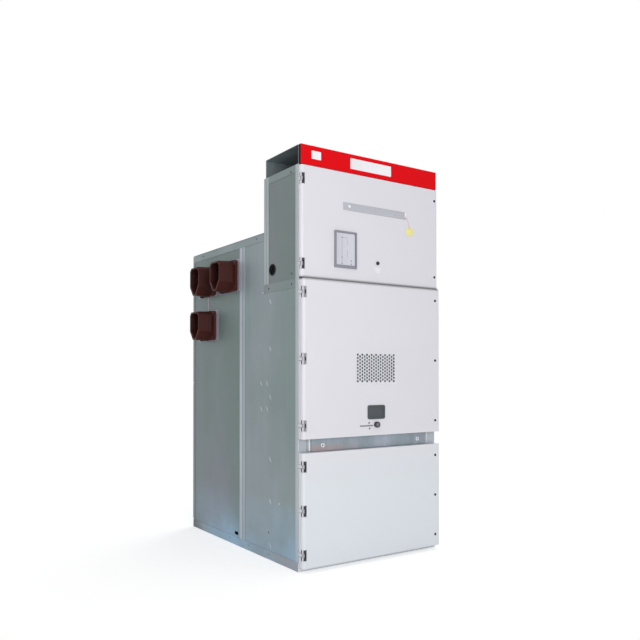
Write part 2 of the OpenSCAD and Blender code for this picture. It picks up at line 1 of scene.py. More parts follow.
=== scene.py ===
"""Finishes, small fittings and the stage of a withdrawable switchgear cubicle.

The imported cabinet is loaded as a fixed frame. Each operator gives some of its nodes their
finish or models a group of small fittings on them, and the last one sets up the stage.
"""

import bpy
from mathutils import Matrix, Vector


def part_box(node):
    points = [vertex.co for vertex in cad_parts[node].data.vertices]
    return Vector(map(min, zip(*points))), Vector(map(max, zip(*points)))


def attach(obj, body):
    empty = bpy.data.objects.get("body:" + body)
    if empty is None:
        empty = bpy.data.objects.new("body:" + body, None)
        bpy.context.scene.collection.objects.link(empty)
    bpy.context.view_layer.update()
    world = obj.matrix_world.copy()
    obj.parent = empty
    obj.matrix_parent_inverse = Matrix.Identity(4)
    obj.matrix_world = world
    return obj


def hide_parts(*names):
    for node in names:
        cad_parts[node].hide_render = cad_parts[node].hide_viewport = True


bl_info = {
    "name": "Switchgear Cubicle",
    "version": (1, 0, 0),
    "blender": (4, 5, 0),
    "location": "View3D > Sidebar > Cubicle",
    "description": "Finishes and fittings of a withdrawable switchgear cubicle",
    "category": "Object",
}

import math

import bmesh
import bpy
from bpy.props import FloatProperty, FloatVectorProperty, IntProperty, PointerProperty
from mathutils import Matrix, Vector

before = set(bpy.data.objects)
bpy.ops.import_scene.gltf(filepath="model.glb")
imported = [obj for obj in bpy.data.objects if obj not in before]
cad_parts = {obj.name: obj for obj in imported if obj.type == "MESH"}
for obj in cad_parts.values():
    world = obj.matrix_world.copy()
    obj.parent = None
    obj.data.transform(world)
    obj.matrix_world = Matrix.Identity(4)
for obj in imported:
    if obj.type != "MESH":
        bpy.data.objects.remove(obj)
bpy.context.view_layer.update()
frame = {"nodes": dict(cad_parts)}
NODES = frame["nodes"]
MM = 0.001
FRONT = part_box("base_frame")[0][1]

# Cast bushings: their size at the mouth, taper, ears and cut corners
BUSHING_W, BUSHING_H = 140 * MM, 184 * MM
DRAFT, WALL, EAR, FLANGE_T = 4 * MM, 11 * MM, 48 * MM, 11 * MM
TOP_CUT, LOW_CUT, LOW_SLOPE = 20 * MM, 58 * MM, 0.78


def bushing_places():
    """The middles of the bushings, along Y and Z, from the box round all three."""
    low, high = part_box("bushings")
    reach_y, reach_z = BUSHING_W / 2 + EAR, BUSHING_H / 2 + 5 * MM
    front_y, rear_y = low[1] + reach_y, high[1] - reach_y
    return [(front_y, high[2] - reach_z), (rear_y, high[2] - reach_z), (rear_y, low[2] + reach_z)]


BUSHING_PLACES = bushing_places()

# Places on a side, as Y from the cabinet's front and Z, in metres
TABS = [(0.296, z) for z in (0.083, 0.333, 0.573, 0.930, 1.207, 1.477)]
TABS += [(0.330, 1.007), (0.399, 1.006), (0.330, 0.860), (0.399, 0.857)]
TAB_SLANT, TAB_RISE = 55, 2.4 * MM
RIVETS = [(0.196, 0.335), (0.381, 1.535)]
RAIL_SCREWS = [(0.454, 1.862), (1.191, 1.862)]

# Rear covers: their sheet, their screws' heads, and how far in the screws sit
COVER_SHEET, SCREW_HIGH, SCREW_INSET = 2 * MM, 1.2 * MM, 15 * MM

# Each door's body and how many hinges and locks it has
DOORS = {"upper_door": ("instrument_door", 2), "middle_door": ("breaker_door", 3),
         "lower_door": ("cable_door", 3)}
# The gap between a hinge leaf's end and its notch's end, from the hinge's middle
NOTCH_GAP = (28.9 * MM, 31.3 * MM)
# How much nearer to its edge the upper door's locks sit
UPPER_LOCK_SHIFT = 12 * MM
# The camera's shift, and where the lights point
CAMERA_SHIFT = (0.02153, 0.07496)
AIM = (0, 0, 1.1)


def tint(red, green, blue):
    """A colour in linear light, from its screen values of 0 to 255."""
    def linear(value):
        share = value / 255
        return share / 12.92 if share <= 0.04045 else ((share + 0.055) / 1.055) ** 2.4

    return (linear(red), linear(green), linear(blue), 1.0)


def colour_property(name, description, screen):
    return FloatVectorProperty(
        name=name, description=description, subtype="COLOR", size=4, min=0, max=1,
        default=tint(*screen))


def length_property(name, description, millimetres):
    return FloatProperty(
        name=name, description=description, unit="LENGTH", min=0, default=millimetres * MM)


class CubicleFinishes(bpy.types.PropertyGroup):
    """Colours of the cubicle's finishes."""

    sheet: colour_property("Sheet", "Zinc coated sheet of the cabinet", (139, 150, 155))
    rear_sheet: colour_property("Rear sheet", "Darker coil of the rear half", (110, 126, 124))
    box_sheet: colour_property("Box sheet", "Sheet of the instrument box", (120, 128, 130))
    sheet_green: colour_property("Green bloom", "Greenish bands in a sheet", (122, 139, 137))
    sheet_violet: colour_property("Violet bloom", "Violet bands in a sheet", (128, 131, 143))
    # The blue cast low down is a painted reflection of the floor.
    base_bloom: colour_property("Base bloom", "Blue cast of the sheet low down", (150, 186, 214))
    frame: colour_property("Frame", "Brighter folded posts", (182, 187, 194))
    beam: colour_property("Beam", "Spangled zinc of the beam", (150, 158, 170))
    beam_patch: colour_property("Beam patches", "Bluish patches of the beam", (132, 146, 152))
    zinc: colour_property("Zinc", "Bright zinc plated parts", (206, 210, 214))
    stainless: colour_property("Stainless", "Plates round the bushings", (160, 150, 162))
    door: colour_property("Doors", "Powder coat of the doors", (218, 217, 223))
    fascia: colour_property("Fascia", "Powder coat of the fascia", (222, 0, 14))
    epoxy: colour_property("Epoxy", "Cast resin of the bushings", (66, 27, 22))
    rubber: colour_property("Rubber", "Grommets and seals", (26, 27, 28))
    black: colour_property("Black coat", "Hinges and locks", (44, 45, 48))
    knob: colour_property("Knob", "Plastic of the knob", (48, 52, 53))
    grey_plastic: colour_property("Indicator housing", "Moulded rim", (138, 138, 149))
    indicator_face: colour_property("Indicator face", "Front film", (202, 203, 213))
    label_metal: colour_property("Label strip", "Anodised strip", (182, 183, 190))
    white_plastic: colour_property("White plastic", "Blank plates and clips", (236, 236, 240))
    card: colour_property("Tag", "Card of the tag", (236, 228, 140))
    string: colour_property("String", "Cotton of the tag's string", (228, 172, 182))
    pane: colour_property("Pane", "Window over the dark compartment", (83, 88, 91))


class CubicleSizes(bpy.types.PropertyGroup):
    """Sizes of the small fittings."""

    lock_radius: length_property("Door lock radius", "Round insert of a door lock", 8.5)
    lock_ring: length_property("Lock ring radius", "Plated ring round a door lock", 12.5)
    hinge_end: length_property("Hinge end", "From a door's end to its end hinge", 72)
    notch_width: length_property("Notch width", "Width of a hinge's notch in a door", 24)
    lock_inset: length_property("Lock inset", "From the door's right edge to its locks", 42)
    lock_end: length_property("Lock end distance", "From the door's end to its end locks", 68)
    rivet_radius: length_property("Rivet radius", "Head of a blind rivet", 4.5)
    bolt_radius: length_property("Bolt radius", "Over the corners of a hexagon head", 8)
    cover_bolt: length_property("Cover bolt radius", "Bolts of the covers and flaps", 5.5)
    lance_length: length_property("Lance length", "Slanted tab pressed out of the side", 36)
    lance_width: length_property("Lance width", "Across a slanted tab", 9)
    plate_thickness: length_property("Plate thickness", "Blank plates on the front", 1.6)
    string_diameter: length_property("String diameter", "Cotton string of the tag", 2)
    bushing_edge: length_property("Bushing edge", "Rounding of the cast edges", 3.5)


class CubicleStage(bpy.types.PropertyGroup):
    """Camera and light."""

    camera_place: FloatVectorProperty(
        name="Camera", description="Place of the camera", subtype="TRANSLATION",
        unit="LENGTH", default=(-2.5126, -3.8038, 1.0644),
    )
    camera_turn: FloatProperty(
        name="Turn", description="Angle of the view to the right of straight on",
        subtype="ANGLE", default=math.radians(33.494),
    )
    camera_rise: FloatProperty(
        name="Rise", description="Angle of the view above level", subtype="ANGLE",
        default=math.radians(0.464),
    )
    lens: FloatProperty(name="Lens", description="Focal length in mm", default=38.91)
    key_power: FloatProperty(name="Key light", description="Power of the key light", default=178)
    fill_power: FloatProperty(name="Fill light", description="Power of the fill light", default=110)
    sky: FloatProperty(name="Sky", description="Level of the light all round", default=0.55)
    floor_radius: FloatProperty(
        name="Floor", description="Radius of the floor", unit="LENGTH", default=30,
    )
    floor_sides: IntProperty(name="Floor sides", description="Sides of the floor", default=64)


# ---- Selecting and shaping ----

TURNS = {
    "front": Matrix.Identity(4),
    "left": Matrix.Rotation(math.radians(-90), 4, "Z"),
    "right": Matrix.Rotation(math.radians(90), 4, "Z"),
    "back": Matrix.Rotation(math.radians(180), 4, "Z"),
    "up": Matrix.Rotation(math.radians(-90), 4, "X"),
}


def clear_selection():
    if bpy.context.mode != "OBJECT":
        bpy.ops.object.mode_set(mode="OBJECT")
    bpy.ops.object.select_all(action="DESELECT")


def activate(piece):
    clear_selection()
    piece.select_set(True)
    bpy.context.view_layer.objects.active = piece


def keep_as(name):
    """Names the active object and puts its place, turn and size into its mesh."""
    piece = bpy.context.object
    piece.name = name
    piece.data.name = name
    bpy.ops.object.transform_apply(location=True, rotation=True, scale=True)
    return piece


def add_block(name, low, high):
    """A block between two opposite corners."""
    low, high = Vector(low), Vector(high)
    clear_selection()
    bpy.ops.mesh.primitive_cube_add(size=1, location=(low + high) / 2, scale=high - low)
    return keep_as(name)


def add_round(name, radius, y0, y1, sides=32, x=0.0, z=0.0):
    """A round bar along Y, from y0 to y1."""
    clear_selection()
    bpy.ops.mesh.primitive_cylinder_add(
        vertices=sides, radius=radius, depth=y1 - y0,
        location=(x, (y0 + y1) / 2, z), rotation=(math.radians(90), 0, 0),
    )
    return keep_as(name)


def pick_faces(piece, test):
    """Opens a piece in edit mode and selects the faces whose centre and normal pass."""
    activate(piece)
    bpy.ops.object.mode_set(mode="EDIT")
    bpy.ops.mesh.select_mode(type="FACE")
    bpy.ops.mesh.select_all(action="DESELECT")
    mesh = bmesh.from_edit_mesh(piece.data)
    for face in mesh.faces:
        face.select_set(test(face.calc_center_median(), face.normal))
    bmesh.update_edit_mesh(piece.data)


def pick_edges(piece, test):
    """Opens a piece in edit mode and selects the edges whose middle and direction pass."""
    activate(piece)
    bpy.ops.object.mode_set(mode="EDIT")
    bpy.ops.mesh.select_mode(type="EDGE")
    bpy.ops.mesh.select_all(action="DESELECT")
    mesh = bmesh.from_edit_mesh(piece.data)
    for edge in mesh.edges:
        start, end = (vertex.co for vertex in edge.verts)
        edge.select_set(test((start + end) / 2, (end - start).normalized()))
    bmesh.update_edit_mesh(piece.data)


def close_edit():
    bpy.ops.object.mode_set(mode="OBJECT")


def cut_with(piece, cutter, operation="DIFFERENCE"):
    """Cuts a piece with another one, or welds the two together."""
    activate(piece)
    cut = piece.modifiers.new("cut", "BOOLEAN")
    cut.operation = operation
    cut.solver = "EXACT"
    cut.object = cutter
    bpy.ops.object.modifier_apply(modifier=cut.name)
    bpy.data.objects.remove(cutter)
    return piece


def trim(piece, point, direction):
    """Cuts off what lies beyond a plane and closes the cut."""
    activate(piece)
    bpy.ops.object.mode_set(mode="EDIT")
    bpy.ops.mesh.select_all(action="SELECT")
    bpy.ops.mesh.bisect(plane_co=point, plane_no=direction, use_fill=True, clear_outer=True)
    close_edit()


def sink_front(piece, rim, depth):
    """Sinks the front of a piece behind a rim."""
    front = min(vertex.co.y for vertex in piece.data.vertices)
    pick_faces(piece, lambda centre, normal: normal.y < -0.9 and centre.y < front + 1e-5)
    bpy.ops.mesh.inset(thickness=rim, depth=0)
    bpy.ops.mesh.extrude_region_move(TRANSFORM_OT_translate={"value": (0, depth, 0)})
    close_edit()


def smooth(piece, angle=40):
    """Shades a piece smooth between the edges that are sharper than an angle."""
    activate(piece)
    bpy.ops.object.shade_smooth_by_angle(angle=math.radians(angle))
    return piece


def soften(piece, width, segments=2):
    """Rounds a piece's edges."""
    activate(piece)
    edges = piece.modifiers.new("edges", "BEVEL")
    edges.width = width
    edges.segments = segments
    edges.limit_method = "ANGLE"
    edges.angle_limit = math.radians(30)
    bpy.ops.object.modifier_apply(modifier=edges.name)
    return smooth(piece)


def join_pieces(name, pieces):
    clear_selection()
    for piece in pieces:
        piece.select_set(True)
    bpy.context.view_layer.objects.active = pieces[0]
    if len(pieces) > 1:
        bpy.ops.object.join()
    return keep_as(name)


def spread(name, seed, places, facing="front"):
    """Copies a fitting modelled at the origin, facing front, to each place, as one piece."""
    copies = []
    for place in places:
        copy = seed.copy()
        copy.data = seed.data.copy()
        bpy.context.collection.objects.link(copy)
        copy.matrix_world = Matrix.Translation(place) @ TURNS[facing]
        copies.append(copy)
    bpy.data.objects.remove(seed)
    return join_pieces(name, copies)


def middle_of(node):
    """The middle of a CAD node's front, in X and Z."""
    low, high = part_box(node)
    return (low[0] + high[0]) / 2, (low[2] + high[2]) / 2


def levels_along(door, end):
    """Levels for as many fittings as a door has hinges, with an end distance."""
    low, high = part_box(door)
    count = DOORS[door][1]
    run = high[2] - low[2] - 2 * end
    return [low[2] + end + run * i / (count - 1) for i in range(count)]


def settle(piece, body, look):
    """Gives a piece its finish and its body."""
    piece.data.materials.clear()
    piece.data.materials.append(finish(look))
    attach(piece, body)
    return piece


def place_all(name, seed, places, body, look, facing="front"):
    """Copies a fitting to its places and settles the copies as one piece."""
    return settle(spread(name, seed, places, facing), body, look)


def settle_blocks(name, corners, edge, body, look):
    """Round-edged blocks, each between two corners, as one piece."""
    blocks = [soften(add_block("block", low, high), edge) for low, high in corners]
    return settle(join_pieces(name, blocks), body, look)


def bolt_seed(radius):
    """A hexagon head on its washer, facing front."""
    washer = add_round("washer", 1.3 * radius, -0.2 * radius, 0, 24)
    soften(washer, 0.06 * radius, segments=1)
    head = add_round("head", radius, -0.85 * radius, -0.2 * radius, 6)
    pick_faces(head, lambda centre, normal: normal.y < -0.9)
    bpy.ops.mesh.inset(thickness=0.12 * radius, depth=0)
    bpy.ops.transform.translate(value=(0, -0.08 * radius, 0))
    close_edit()
    return join_pieces("bolt", [head, washer])


def rivet_seed(radius):
    """A blind rivet's low head with the dimple of its mandrel, facing front."""
    head = add_round("rivet", radius, -0.32 * radius, 0, 20)
    pick_faces(head, lambda centre, normal: normal.y < -0.9)
    bpy.ops.mesh.inset(thickness=0.35 * radius, depth=0)
    bpy.ops.transform.translate(value=(0, -0.18 * radius, 0))
    bpy.ops.mesh.inset(thickness=0.3 * radius, depth=0)
    bpy.ops.transform.translate(value=(0, 0.2 * radius, 0))
    close_edit()
    return smooth(head, 50)


def screw_seed(radius):
    """A low round head with a hexagon socket, facing front."""
    head = add_round("screw", radius, -SCREW_HIGH, 0, 18)
    soften(head, 0.5 * MM, segments=1)
    socket = add_round("socket", 0.45 * radius, -0.01, -0.5 * SCREW_HIGH, 6)
    return cut_with(head, socket)


# ---- Materials ----


class Shades:
    """Adds nodes to a shader tree and links them as it goes."""

    def __init__(self, tree):
        self.tree = tree
        self.tree.nodes.clear()

    def add(self, kind, inputs=None, **settings):
        node = self.tree.nodes.new(kind)
        for name, value in settings.items():
            setattr(node, name, value)
        for name, value in (inputs or {}).items():
            self.plug(node.inputs[name], value)
        return node

    def plug(self, socket, value):
        if isinstance(value, bpy.types.NodeSocket):
            self.tree.links.new(value, socket)
        else:
            socket.default_value = value

    def math(self, operation, first, second=0.0, clamp=False):
        node = self.add("ShaderNodeMath", operation=operation, use_clamp=clamp)
        self.plug(node.inputs[0], first)
        self.plug(node.inputs[1], second)
        return node.outputs[0]

    def times(self, first, second):
        return self.math("MULTIPLY", first, second)

    def plus(self, first, second):
        return self.math("ADD", first, second)

    def scaled(self, colour, factor):
        node = self.add("ShaderNodeVectorMath", operation="SCALE")
        self.plug(node.inputs[0], colour)
        self.plug(node.inputs["Scale"], factor)
        return node.outputs[0]

    def scale_by(self, vector, factors):
        node = self.add("ShaderNodeVectorMath", operation="MULTIPLY")
        self.plug(node.inputs[0], vector)
        self.plug(node.inputs[1], factors)
        return node.outputs[0]

    def noise(self, vector, scale, detail=2.0, roughness=0.5):
        node = self.add(
            "ShaderNodeTexNoise",
            {"Vector": vector, "Scale": scale, "Detail": detail, "Roughness": roughness},
        )
        return node.outputs["Fac"]

    def mix(self, factor, first, second):
        node = self.add("ShaderNodeMix", data_type="RGBA")
        self.plug(node.inputs["Factor"], factor)
        self.plug(node.inputs[6], first)
        self.plug(node.inputs[7], second)
        return node.outputs[2]

    def ramp(self, factor, stops):
        limits = dict(zip(("From Min", "From Max", "To Min", "To Max"), stops))
        return self.add("ShaderNodeMapRange", {"Value": factor, **limits}).outputs["Result"]

    def here(self):
        return self.add("ShaderNodeTexCoord").outputs["Object"]

    def spot(self):
        """Where a point lies, as three separate outputs X, Y and Z."""
        return self.add("ShaderNodeSeparateXYZ", {"Vector": self.here()}).outputs

    def use(self, group, values):
        """Places a shared group with values of its own, and gives its outputs."""
        return self.add("ShaderNodeGroup", values, node_tree=group).outputs

    def vary(self, colour, signal, strength):
        """Brightens and darkens a colour by a signal round one half."""
        swing = self.times(self.math("SUBTRACT", signal, 0.5), strength)
        return self.scaled(colour, self.plus(swing, 1.0))


MID_GREY = (0.5, 0.5, 0.5, 1.0)
SOCKETS = {"Color": "NodeSocketColor", "Normal": "NodeSocketVector"}


def shared_group(name, inputs, outputs, build):
    """A node group with named sockets, built once; inputs map a name to its default."""
    group = bpy.data.node_groups.get(name)
    if group:
        return group
    group = bpy.data.node_groups.new(name, "ShaderNodeTree")
    for label, default in inputs.items():
        kind = "NodeSocketColor" if isinstance(default, tuple) else "NodeSocketFloat"
        socket = group.interface.new_socket(name=label, in_out="INPUT", socket_type=kind)
        socket.default_value = default
    for label in outputs:
        kind = SOCKETS.get(label, "NodeSocketFloat")
        group.interface.new_socket(name=label, in_out="OUTPUT", socket_type=kind)
    shades = Shades(group)
    entry = shades.add("NodeGroupInput").outputs
    leave = shades.add("NodeGroupOutput").inputs
    for label, value in build(shades, entry).items():
        shades.plug(leave[label], value)
    return group


def sheet_bloom_group():
    """The bloom of a metal sheet: bands, rolling streaks, spangle, and a blue cast low down that is
    a painted reflection of the floor.
    """
    def build(shades, entry):
        here = shades.here()
        stretch = shades.add(
            "ShaderNodeCombineXYZ", {"X": 1.0, "Y": 1.0, "Z": entry["Band Stretch"]})
        lengthways = shades.scale_by(here, stretch.outputs[0])
        bands = shades.noise(lengthways, entry["Band Scale"], 3.0, 0.55)
        streaks = shades.noise(shades.scale_by(here, (38.0, 38.0, 0.9)), 1.0, 4.0, 0.6)
        fine = shades.noise(shades.scale_by(here, (420.0, 420.0, 9.0)), 1.0, 2.0)
        cells = shades.add(
            "ShaderNodeTexVoronoi",
            {"Vector": here, "Scale": entry["Cell Scale"], "Randomness": 1.0})
        flake = shades.add("ShaderNodeSeparateColor", {"Color": cells.outputs["Color"]})
        spangle = flake.outputs[0]
        cloud = shades.noise(here, 2.3, 3.0, 0.55)
        share = shades.times(shades.ramp(bands, (0.4, 0.62, 0.0, 1.0)), entry["Bands"])
        colour = shades.mix(share, entry["Tint"], entry["Second"])
        colour = shades.vary(colour, streaks, entry["Streaks"])
        colour = shades.vary(colour, spangle, entry["Spangle"])
        colour = shades.vary(colour, cloud, entry["Clouds"])
        # Painted reflection of the floor: a blue cast low down, strongest near the front.
        spot = shades.spot()
        low = shades.ramp(spot["Z"], (0.04, 0.36, 1.0, 0.0))
        low = shades.times(low, entry["Cast Share"])
        low = shades.times(low, shades.ramp(cloud, (0.35, 0.62, 0.25, 1.0)))
        low = shades.times(low, shades.ramp(spot["Y"], (0.1, 0.66, 1.0, 0.25)))
        colour = shades.mix(low, colour, entry["Cast"])
        uneven = shades.plus(shades.times(streaks, 0.16), shades.times(spangle, 0.05))
        rough = shades.plus(entry["Roughness"], shades.math("SUBTRACT", uneven, 0.105))
        relief = shades.plus(shades.times(fine, 0.6), shades.times(spangle, 0.4))
        return {"Color": colour, "Roughness": rough, "Height": relief}

    return shared_group(
        "sheet_bloom",
        {"Tint": MID_GREY, "Second": MID_GREY, "Cast": (0.3, 0.4, 0.5, 1.0),
         "Bands": 0.5, "Band Scale": 2.6, "Band Stretch": 0.3, "Streaks": 0.2, "Spangle": 0.1,
         "Cell Scale": 85.0, "Clouds": 0.2, "Cast Share": 0.1, "Roughness": 0.4},
        ("Color", "Roughness", "Height"), build,
    )


def coat_skin_group():
    """The skin of a powder coat or a moulding: fine orange peel and a faint unevenness."""
    def build(shades, entry):
        here = shades.here()
        peel = shades.noise(here, entry["Peel Scale"], 2.0, 0.5)
        cloud = shades.noise(here, 3.1, 3.0, 0.5)
        handled = shades.noise(here, 14.0, 4.0, 0.65)
        colour = shades.vary(entry["Tint"], cloud, entry["Clouds"])
        uneven = shades.times(shades.math("SUBTRACT", handled, 0.5), 0.16)
        rough = shades.plus(entry["Roughness"], uneven)
        return {"Color": colour, "Roughness": rough, "Height": peel}

    return shared_group(
        "coat_skin",
        {"Tint": MID_GREY, "Peel Scale": 700.0, "Clouds": 0.05, "Roughness": 0.45},
        ("Color", "Roughness", "Height"), build,
    )


def settled_dust_group():
    """Dust that lies on what faces up, and a trace of dirt near the floor."""
    def build(shades, entry):
        here = shades.here()
        normal = shades.add("ShaderNodeNewGeometry").outputs["Normal"]
        up = shades.add("ShaderNodeSeparateXYZ", {"Vector": normal}).outputs["Z"]
        height = shades.spot()["Z"]
        patches = shades.noise(here, 9.0, 5.0, 0.6)
        lying = shades.times(shades.ramp(up, (0.75, 1.0, 0.0, 1.0)),
                            shades.ramp(patches, (0.3, 0.7, 0.35, 1.0)))
        low = shades.times(shades.ramp(height, (0.0, 0.16, 0.35, 0.0)), patches)
        dusty = shades.times(lying, entry["Amount"])
        colour = shades.mix(dusty, entry["Color"], tint(176, 172, 163))
        colour = shades.mix(shades.times(low, entry["Amount"]), colour, tint(92, 88, 82))
        rough = shades.math("ADD", entry["Roughness"], shades.times(dusty, 0.4), clamp=True)
        return {"Color": colour, "Roughness": rough}

    return shared_group(
        "settled_dust",
        {"Color": MID_GREY, "Roughness": 0.5, "Amount": 0.4},
        ("Color", "Roughness"), build,
    )


def worn_edges_group():
    """Paler edges: a painted highlight along the rounded edges, and wear where hands and tools rub
    the finish.
    """
    def build(shades, entry):
        round_edge = shades.add("ShaderNodeBevel", {"Radius": entry["Width"]}, samples=4)
        flat = shades.add("ShaderNodeNewGeometry").outputs["Normal"]
        facing = shades.add("ShaderNodeVectorMath", operation="DOT_PRODUCT")
        shades.plug(facing.inputs[0], round_edge.outputs["Normal"])
        shades.plug(facing.inputs[1], flat)
        patches = shades.noise(shades.here(), 30.0, 3.0, 0.6)
        mask = shades.ramp(facing.outputs["Value"], (0.8, 0.99, 1.0, 0.0))
        mask = shades.times(mask, shades.ramp(patches, (0.3, 0.6, 0.35, 1.0)))
        mask = shades.times(mask, entry["Amount"])
        return {"Color": shades.mix(mask, entry["Color"], entry["Bare"]),
                "Normal": round_edge.outputs["Normal"]}

    return shared_group(
        "worn_edges",
        {"Color": MID_GREY, "Bare": (0.7, 0.7, 0.7, 1.0), "Width": 0.001, "Amount": 0.5},
        ("Color", "Normal"), build,
    )


def deep_shade_group():
    """Painted shade that darkens a colour where a casting or a box is closed in."""
    def build(shades, entry):
        inlet = shades.add("ShaderNodeAmbientOcclusion", {"Distance": entry["Distance"]}, samples=6)
        open_air = shades.ramp(inlet.outputs["AO"], (0.25, 0.8, entry["Darkest"], 1.0))
        return {"Color": shades.scaled(entry["Color"], open_air)}

    return shared_group(
        "deep_shade",
        {"Color": MID_GREY, "Distance": 0.1, "Darkest": 0.3},
        ("Color",), build,
    )


def new_material(name):
    """An empty material with its shading nodes ready to be added."""
    material = bpy.data.materials.new(name)
    material.use_nodes = True
    return material, Shades(material.node_tree)


def finish_surface(shades, outputs, depth, dust=0.0, edge=None, shade=None, accent=None,
                   **constants):
    """Ends a material: worn edges with a painted highlight, painted shade, dust, a bump, and the
    surface shader.
    """
    colour, rough, height = (outputs[label] for label in ("Color", "Roughness", "Height"))
    bump = shades.add("ShaderNodeBump", {"Height": height, "Distance": depth * MM, "Strength": 1.0})
    if accent:
        colour = accent(shades, colour)
    # Painted shade where the surface is closed in.
    if shade:
        distance, darkest = shade
        values = {"Color": colour, "Distance": distance, "Darkest": darkest}
        colour = shades.use(deep_shade_group(), values)["Color"]
    # Paler edges: a painted highlight along rounded edges, together with wear.
    if edge:
        bare, width, amount = edge
        values = {"Color": colour, "Bare": tint(*bare), "Width": width * MM, "Amount": amount}
        worn = shades.use(worn_edges_group(), values)
        colour = worn["Color"]
        shades.plug(bump.inputs["Normal"], worn["Normal"])
    if dust:
        values = {"Color": colour, "Roughness": rough, "Amount": dust}
        dusty = shades.use(settled_dust_group(), values)
        colour, rough = dusty["Color"], dusty["Roughness"]
    surface = shades.add("ShaderNodeBsdfPrincipled", {
        "Base Color": colour, "Roughness": rough, "Normal": bump.outputs["Normal"]})
    for label, value in constants.items():
        surface.inputs[label.replace("_", " ")].default_value = value
    shades.add("ShaderNodeOutputMaterial", {"Surface": surface.outputs[0]})


def paint(colour):
    """A colour from its screen values, or from the setting that it names."""
    if isinstance(colour, str):
        return getattr(bpy.context.scene.cubicle_finishes, colour)
    return tint(*colour)


BLOOM = {
    "Bands": 0.0, "Band Scale": 2.6, "Band Stretch": 0.3, "Streaks": 0.1, "Spangle": 0.05,
    "Cell Scale": 85.0, "Clouds": 0.1, "Cast Share": 0.0,
}


def metal_finish(name, colour, rough, depth, second, bloom, **more):
    """A sheet or plated metal; bloom changes some of the group's usual values."""
    material, shades = new_material(name)
    values = {"Tint": paint(colour), "Second": paint(second), "Cast": paint("base_bloom"),
              "Roughness": rough, **BLOOM, **bloom}
    finish_surface(shades, shades.use(sheet_bloom_group(), values), depth, **more)
    return material


def bright_borders(shades, colour):
    """Painted highlight on the folded borders of the instrument box, brightest on the rear one."""
    low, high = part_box("instrument_walls")
    spot = shades.spot()
    raised = shades.math("GREATER_THAN", shades.math("ABSOLUTE", spot["X"]), high[0] - 1 * MM)
    rear = shades.math("GREATER_THAN", spot["Y"], high[1] - 52 * MM)
    above = shades.math("GREATER_THAN", spot["Z"], low[2] + 49 * MM)
    strip = shades.times(shades.times(rear, above), raised)
    gain = shades.plus(shades.times(raised, 0.2), shades.times(strip, 0.75))
    return shades.scaled(colour, shades.plus(gain, 1.0))


def warm_corner(shades, colour):
    """The beam's lower left third has a warm tarnish."""
    low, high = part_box("docking_beam")
    spot = shades.spot()
    left = shades.ramp(spot["X"], (-0.3, -0.05, 1.0, 0.0))
    middle = (low[2] + high[2]) / 2
    below = shades.ramp(spot["Z"], (middle - 12 * MM, middle + 8 * MM, 1.0, 0.0))
    share = shades.times(shades.times(left, below), 0.7)
    return shades.mix(share, colour, tint(166, 148, 148))


def tarnished_ends(shades, colour):
    """The base rails turn warm near the front, and darken at the rear corners as painted shade."""
    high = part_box("base_frame")[1]
    y = shades.spot()["Y"]
    front = shades.ramp(y, (FRONT + 0.12, FRONT + 0.42, 0.6, 0.0))
    rear = shades.ramp(y, (high[1] - 0.17, high[1] - 0.02, 0.0, 0.8))
    colour = shades.mix(front, colour, tint(158, 150, 152))
    return shades.mix(rear, colour, tint(84, 84, 88))


def door_tones(shades, colour):
    """Painted light on the doors: a cooler cast low down, painted as the floor's reflection, and
    painted shade along the joint between the two upper doors.
    """
    level = shades.spot()["Z"]
    cool = shades.ramp(level, (0.4, 0.75, 1.0, 0.0))
    colour = shades.mix(cool, colour, tint(216, 222, 227))
    joint = (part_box("middle_door")[1][2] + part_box("upper_door")[0][2]) / 2
    away = shades.math("ABSOLUTE", shades.math("SUBTRACT", level, joint))
    return shades.scaled(colour, shades.ramp(away, (0.006, 0.016, 0.55, 1.0)))


def dull_front_flange(shades, colour):
    """Painted shade: the seam's front flange is darker than the rear one."""
    low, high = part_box("mid_posts")
    y = shades.spot()["Y"]
    front = shades.math("LESS_THAN", y, (low[1] + high[1]) / 2)
    return shades.mix(shades.times(front, 0.7), colour, tint(148, 159, 169))


def pale_barrels(shades, colour):
    """Hinge leaves whose outer half of the barrels has the door's own colour."""
    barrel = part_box("upper_door_hinges")[0][0] + 3.5 * MM
    outer = shades.math("LESS_THAN", shades.spot()["X"], barrel)
    return shades.mix(outer, colour, paint("door"))


def coat_finish(name, colour, rough, peel, clouds, depth, **more):
    """A powder coat, a moulded plastic or a rubber."""
    material, shades = new_material(name)
    values = {"Tint": paint(colour), "Peel Scale": peel, "Clouds": clouds, "Roughness": rough}
    finish_surface(shades, shades.use(coat_skin_group(), values), depth, **more)
    return material


SHEET_BLOOM = {"Bands": 0.7, "Streaks": 0.2, "Clouds": 0.24, "Cast Share": 0.85}
COVER_BLOOM = {"Bands": 0.5, "Streaks": 0.14, "Clouds": 0.14, "Cast Share": 0.2}
BEAM_BLOOM = {"Bands": 0.9, "Band Scale": 6.0, "Band Stretch": 0.5, "Spangle": 0.1,
              "Cell Scale": 140.0, "Clouds": 0.6, "Streaks": 0.35}
STRIP_BLOOM = {"Bands": 0.6, "Band Scale": 9.0, "Band Stretch": 1.0}
# Painted highlight along folded edges: its pale tint, its width in mm and its amount.
FOLD = ((225, 228, 232), 1.2, 0.5)

